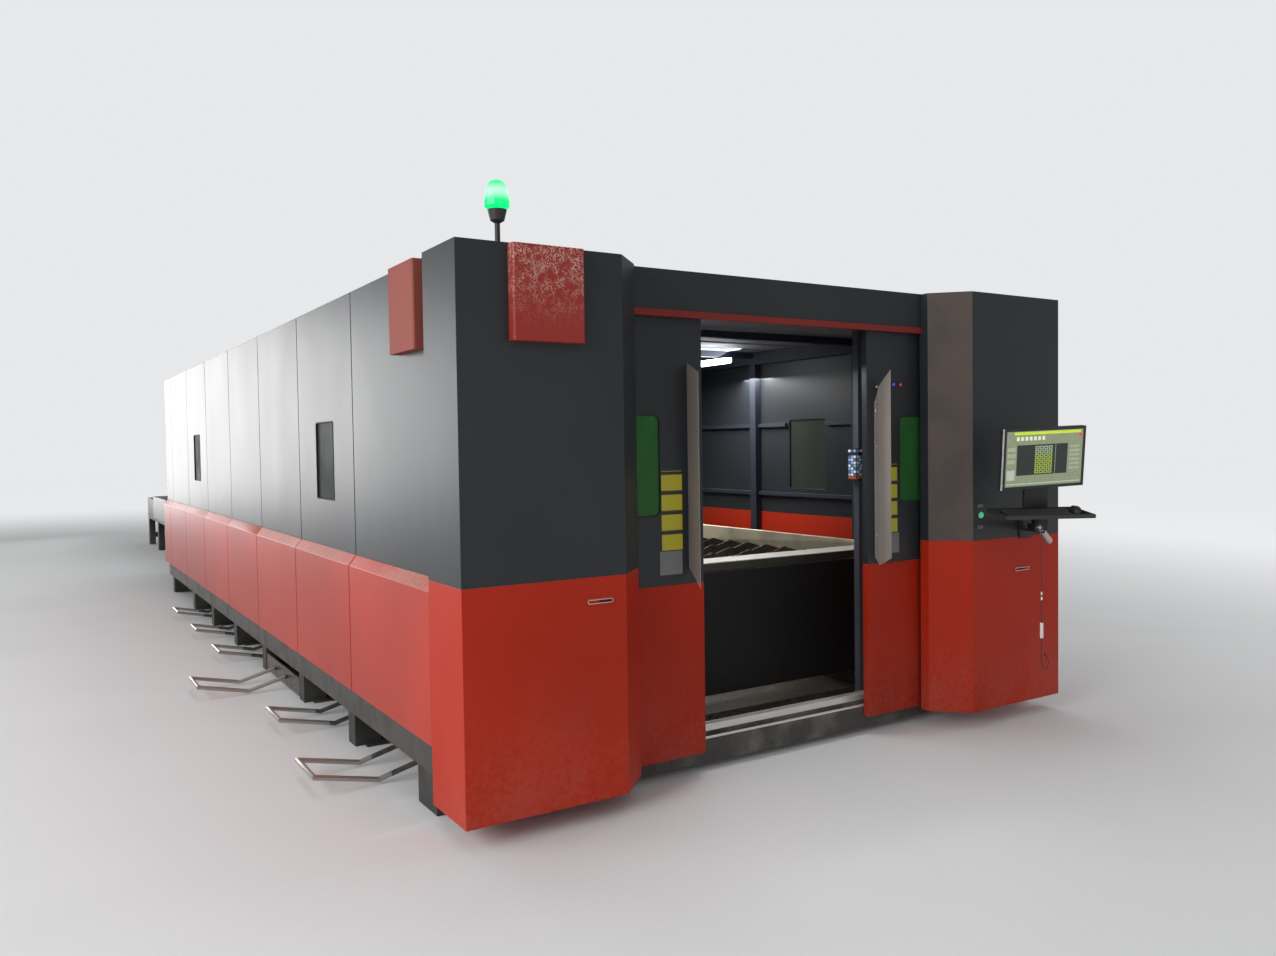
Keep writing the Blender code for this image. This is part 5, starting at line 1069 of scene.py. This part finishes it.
class CUTTER_OT_console(bpy.types.Operator):
    """Build the screen picture, the keys, the mouse wheel and the lever sleeve"""
    bl_idname = "cutter.console"
    bl_label = "Operator console"

    def execute(self, context):
        self.screen_picture()
        self.monitor_parts()
        self.desk(context.scene.cutter_fittings)
        return {"FINISHED"}

    def screen_picture(self):
        """Plain colour fields; their sides are shares of the screen's width and height."""
        shades = {
            "ground": (0.25, 0.29, 0.18), "bar": (0.62, 0.78, 0.03), "canvas": (0.012, 0.016, 0.014),
            "patch": (0.34, 0.42, 0.06), "grey_patch": (0.30, 0.42, 0.26), "light": (0.46, 0.52, 0.42),
            "icon": (0.74, 0.84, 0.56), "red": (0.75, 0.06, 0.04), "faint": (0.36, 0.41, 0.27),
        }
        names = list(shades)
        for name, colour in shades.items():
            glow("screen_" + name, colour, 0.75)
        mesh = bmesh.new()

        def field(name, x0, x1, z0, z1, layer=2):
            left, low = -SCREEN_WIDTH / 2, SCREEN_LOW
            box_into(mesh, (left + x0 * SCREEN_WIDTH, SCREEN_FACE - 0.0003 * layer, low + z0 * SCREEN_HEIGHT),
                     (left + x1 * SCREEN_WIDTH, SCREEN_FACE + 0.0002, low + z1 * SCREEN_HEIGHT),
                     names.index(name))

        field("ground", 0.0, 1.0, 0.0, 1.0, 1)
        field("bar", 0.10, 0.97, 0.935, 0.985)
        field("red", 0.945, 0.985, 0.86, 0.925, 3)
        for index in range(7):
            field("icon", 0.13 + 0.055 * index, 0.165 + 0.055 * index, 0.83, 0.90)
        field("canvas", 0.14, 0.80, 0.20, 0.75)
        for column in range(4):
            for row in range(7):
                x, z = 0.375 + 0.058 * column, 0.222 + 0.073 * row
                field("patch" if row < 5 else "grey_patch", x, x + 0.050, z, z + 0.063, 3)
                field("canvas", x + 0.014, x + 0.036, z + 0.018, z + 0.045, 4)
        field("faint", 0.638, 0.643, 0.20, 0.75, 3)
        for row in range(6):
            field("faint", 0.83, 0.96, 0.27 + 0.08 * row, 0.31 + 0.08 * row)
        for row in range(3):
            field("faint", 0.02, 0.12, 0.42 + 0.11 * row, 0.49 + 0.11 * row)
        field("light", 0.02, 0.12, 0.12, 0.30)
        field("light", 0.02, 0.98, 0.035, 0.055)
        finishes = ["screen_" + name for name in names]
        moved_piece("screen_picture", mesh, screen_matrix(), finishes, "screen")

    def monitor_parts(self):
        """Bright trim along the monitor's sides, and the slots in its back, painted dark as shade."""
        trim = bmesh.new()
        for low, high in ((-0.2706, -0.2695), (0.2695, 0.2706)):
            box_into(trim, (low, -0.0545, 0.141), (high, -0.0420, 0.464))
        moved_piece("monitor_side_trim", trim, screen_matrix(), ["silver_plastic"], "screen")
        back = bmesh.new()
        for row in range(9):
            z = 0.30 + row * 0.014
            box_into(back, (-0.11, -0.0206, z), (0.11, -0.0198, z + 0.005))
        moved_piece("monitor_vents", back, screen_matrix(), ["painted_recess_shade"], "screen")

    def desk(self, fittings):
        """Keys in the keyboard's slope, the mouse wheel and the sleeve of the lever."""
        middle = Vector((-0.045, -0.047, TRAY_FLOOR + 0.0172))
        slope = Matrix.Rotation(math.atan2(0.010, 0.12), 4, "X")
        grown("keyboard_keys", key_tree(), bpy.data.meshes.new("key_carrier"), {
            "Columns": fittings.key_columns, "Rows": fittings.key_rows, "Width": 0.325, "Depth": 0.094,
            "Key": 0.0108, "Height": 0.004, "Finish": FINISHES["key_plastic"],
        }, "console", tray_matrix() @ Matrix.Translation(middle) @ slope)
        wheel = bmesh.new()
        lathe_into(wheel, [(0.0085, -0.004), (0.0095, -0.002), (0.0095, 0.002), (0.0085, 0.004)],
                   (0.195, -0.026, TRAY_FLOOR + 0.0285), (1, 0, 0), 20)
        moved_piece("mouse_wheel", wheel, tray_matrix(), ["gasket_rubber"], "console")
        root, tip = at(*LEVER_ROOT), at(*LEVER_TIP)
        length = (tip - root).length
        sleeve = bmesh.new()
        lathe_into(sleeve, [(0.0158, length * 0.12), (0.0172, length * 0.2), (0.0172, length * 0.55),
                            (0.0195, length * 0.8), (0.0195, length - 0.004), (0.016, length + 0.003)],
                   root, (tip - root).normalized(), 20)
        piece("lever_sleeve", sleeve, ["lever_alloy"], "console")


class CUTTER_OT_stage(bpy.types.Operator):
    """Lay the pale floor and set the soft studio light"""
    bl_idname = "cutter.stage"
    bl_label = "Studio"

    def execute(self, context):
        stage = context.scene.cutter_stage
        context.scene.view_settings.view_transform = "Standard"
        self.floor(stage)
        self.sky(context.scene, stage)
        self.lamp("side_light", (-9.5, 2.0, 5.2), (0.0, 3.0, 1.0), 8.0, 5.0, stage.key)
        self.lamp("far_light", (-5.6, 18.0, 2.5), (-1.9, 3.0, 1.5), 6.8, 4.2, stage.key * 0.21, 70.0)
        self.lamp("near_light", (-7.4, -2.6, 3.3), (0.3, 0.3, 1.0), 2.4, 2.4, stage.near, 110.0)
        self.lamp("front_light", (-3.0, -9.0, 4.5), (0.3, 0.3, 1.0), 6.0, 4.0, stage.key * 0.12)
        self.lamp("top_light", (1.0, 4.0, 9.0), (0.5, 4.0, 0.0), 9.0, 9.0, stage.key * 0.7)
        self.lamp("inside_light", (1.137, 2.68, 2.15), (1.0, 2.68, 0.0), 0.35, 1.4, 36.0)
        self.lamp("sill_light", (0.05, 0.60, 2.00), (0.05, 0.55, 0.0), 0.9, 0.15, 9.0)
        self.lamp("roof_light", (1.137, 2.68, 2.14), (0.7, 2.68, 3.0), 0.35, 1.4, 16.0)
        return {"FINISHED"}

    def floor(self, stage):
        """A pale floor that turns into the backdrop far away; the fade follows the long machine."""
        finish = Finish("studio_floor", roughness=0.75, emission_strength=1.0)
        shade = finish.noise(0.8, 5.0) * 0.7 + finish.noise(40.0, 3.0) * 0.3
        away = finish.node("ShaderNodeVectorMath", {"operation": "LENGTH"}, {
            0: finish.stretched((0.85, 0.62, 1.0), (1.4, 0.0, 0.0))}, "Value")
        horizon = finish.band(away, 4.0, 13.0)
        finish.surface(
            base_color=finish.blend(shade, tint(stage.backdrop, 0.86), stage.backdrop),
            emission_color=finish.blend(horizon, (0.0, 0.0, 0.0), tint(stage.backdrop, 0.68)),
            normal=finish.relief(finish.noise(40.0, 3.0), 0.0008, 0.2))
        mesh = bpy.data.meshes.new("studio_floor")
        reach = 60.0
        low = -0.0005
        mesh.from_pydata([(-reach, -reach, low), (reach, -reach, low), (reach, reach, low),
                          (-reach, reach, low)], [], [(0, 1, 2, 3)])
        mesh.materials.append(finish.material)
        linked("studio_floor", mesh)

    def sky(self, scene, stage):
        """Even white light from all round, behind which the camera sees the backdrop."""
        scene.world = bpy.data.worlds.new("studio")
        scene.world.use_nodes = True
        tree = scene.world.node_tree
        tree.nodes.clear()
        add = partial(tree_node, tree)
        path = add("ShaderNodeLightPath")
        seen = add("ShaderNodeMath", [(0, path, "Is Camera Ray"), (1, path, "Is Transmission Ray")],
                   {"operation": "MAXIMUM"})
        light = add("ShaderNodeBackground", values={"Color": (1.0, 1.0, 1.0, 1.0), "Strength": stage.sky})
        backdrop = add("ShaderNodeBackground", values={"Color": (*stage.backdrop, 1.0)})
        mix = add("ShaderNodeMixShader", [("Fac", seen, 0), (1, light, 0), (2, backdrop, 0)])
        add("ShaderNodeOutputWorld", [("Surface", mix, 0)])

    def lamp(self, name, place, target, width, height, power, spread=180.0):
        """A soft lamp at a place, turned to a target."""
        data = bpy.data.lights.new(name, "AREA")
        data.shape = "RECTANGLE"
        data.size = width
        data.size_y = height
        data.energy = power
        data.spread = math.radians(spread)
        item = linked(name, data)
        item.visible_camera = False
        item.location = at(*place)
        direction = at(*target) - item.location
        item.rotation_euler = direction.to_track_quat("-Z", "Y").to_euler()


class CUTTER_PT_panel(bpy.types.Panel):
    """Panel that lists the machine's parts"""
    bl_idname = "CUTTER_PT_panel"
    bl_label = "Laser cutting machine"
    bl_space_type = "VIEW_3D"
    bl_region_type = "UI"
    bl_category = "Laser cutter"

    def draw(self, context):
        column = self.layout.column()
        for group in (context.scene.cutter_paint, context.scene.cutter_fittings, context.scene.cutter_stage):
            for name in group.__annotations__:
                column.prop(group, name)
            column.separator()
        for operator in OPERATORS:
            column.operator(operator.bl_idname)


GROUPS = {"cutter_paint": CutterPaint, "cutter_fittings": CutterFittings, "cutter_stage": CutterStage}
OPERATORS = (
    CUTTER_OT_camera, CUTTER_OT_cord, CUTTER_OT_sheet_metal, CUTTER_OT_windows, CUTTER_OT_doors,
    CUTTER_OT_column_fittings, CUTTER_OT_console, CUTTER_OT_stage,
)


def register():
    for name, group in GROUPS.items():
        bpy.utils.register_class(group)
        setattr(bpy.types.Scene, name, PointerProperty(type=group))
    for item in (*OPERATORS, CUTTER_PT_panel):
        bpy.utils.register_class(item)


def unregister():
    for item in (CUTTER_PT_panel, *reversed(OPERATORS)):
        bpy.utils.unregister_class(item)
    for name, group in reversed(GROUPS.items()):
        delattr(bpy.types.Scene, name)
        bpy.utils.unregister_class(group)


def main():
    register()
    make_finishes(bpy.context.scene.cutter_paint)
    for operator in OPERATORS:
        family, name = operator.bl_idname.split(".")
        getattr(getattr(bpy.ops, family), name)()


if __name__ == "__main__":
    main()
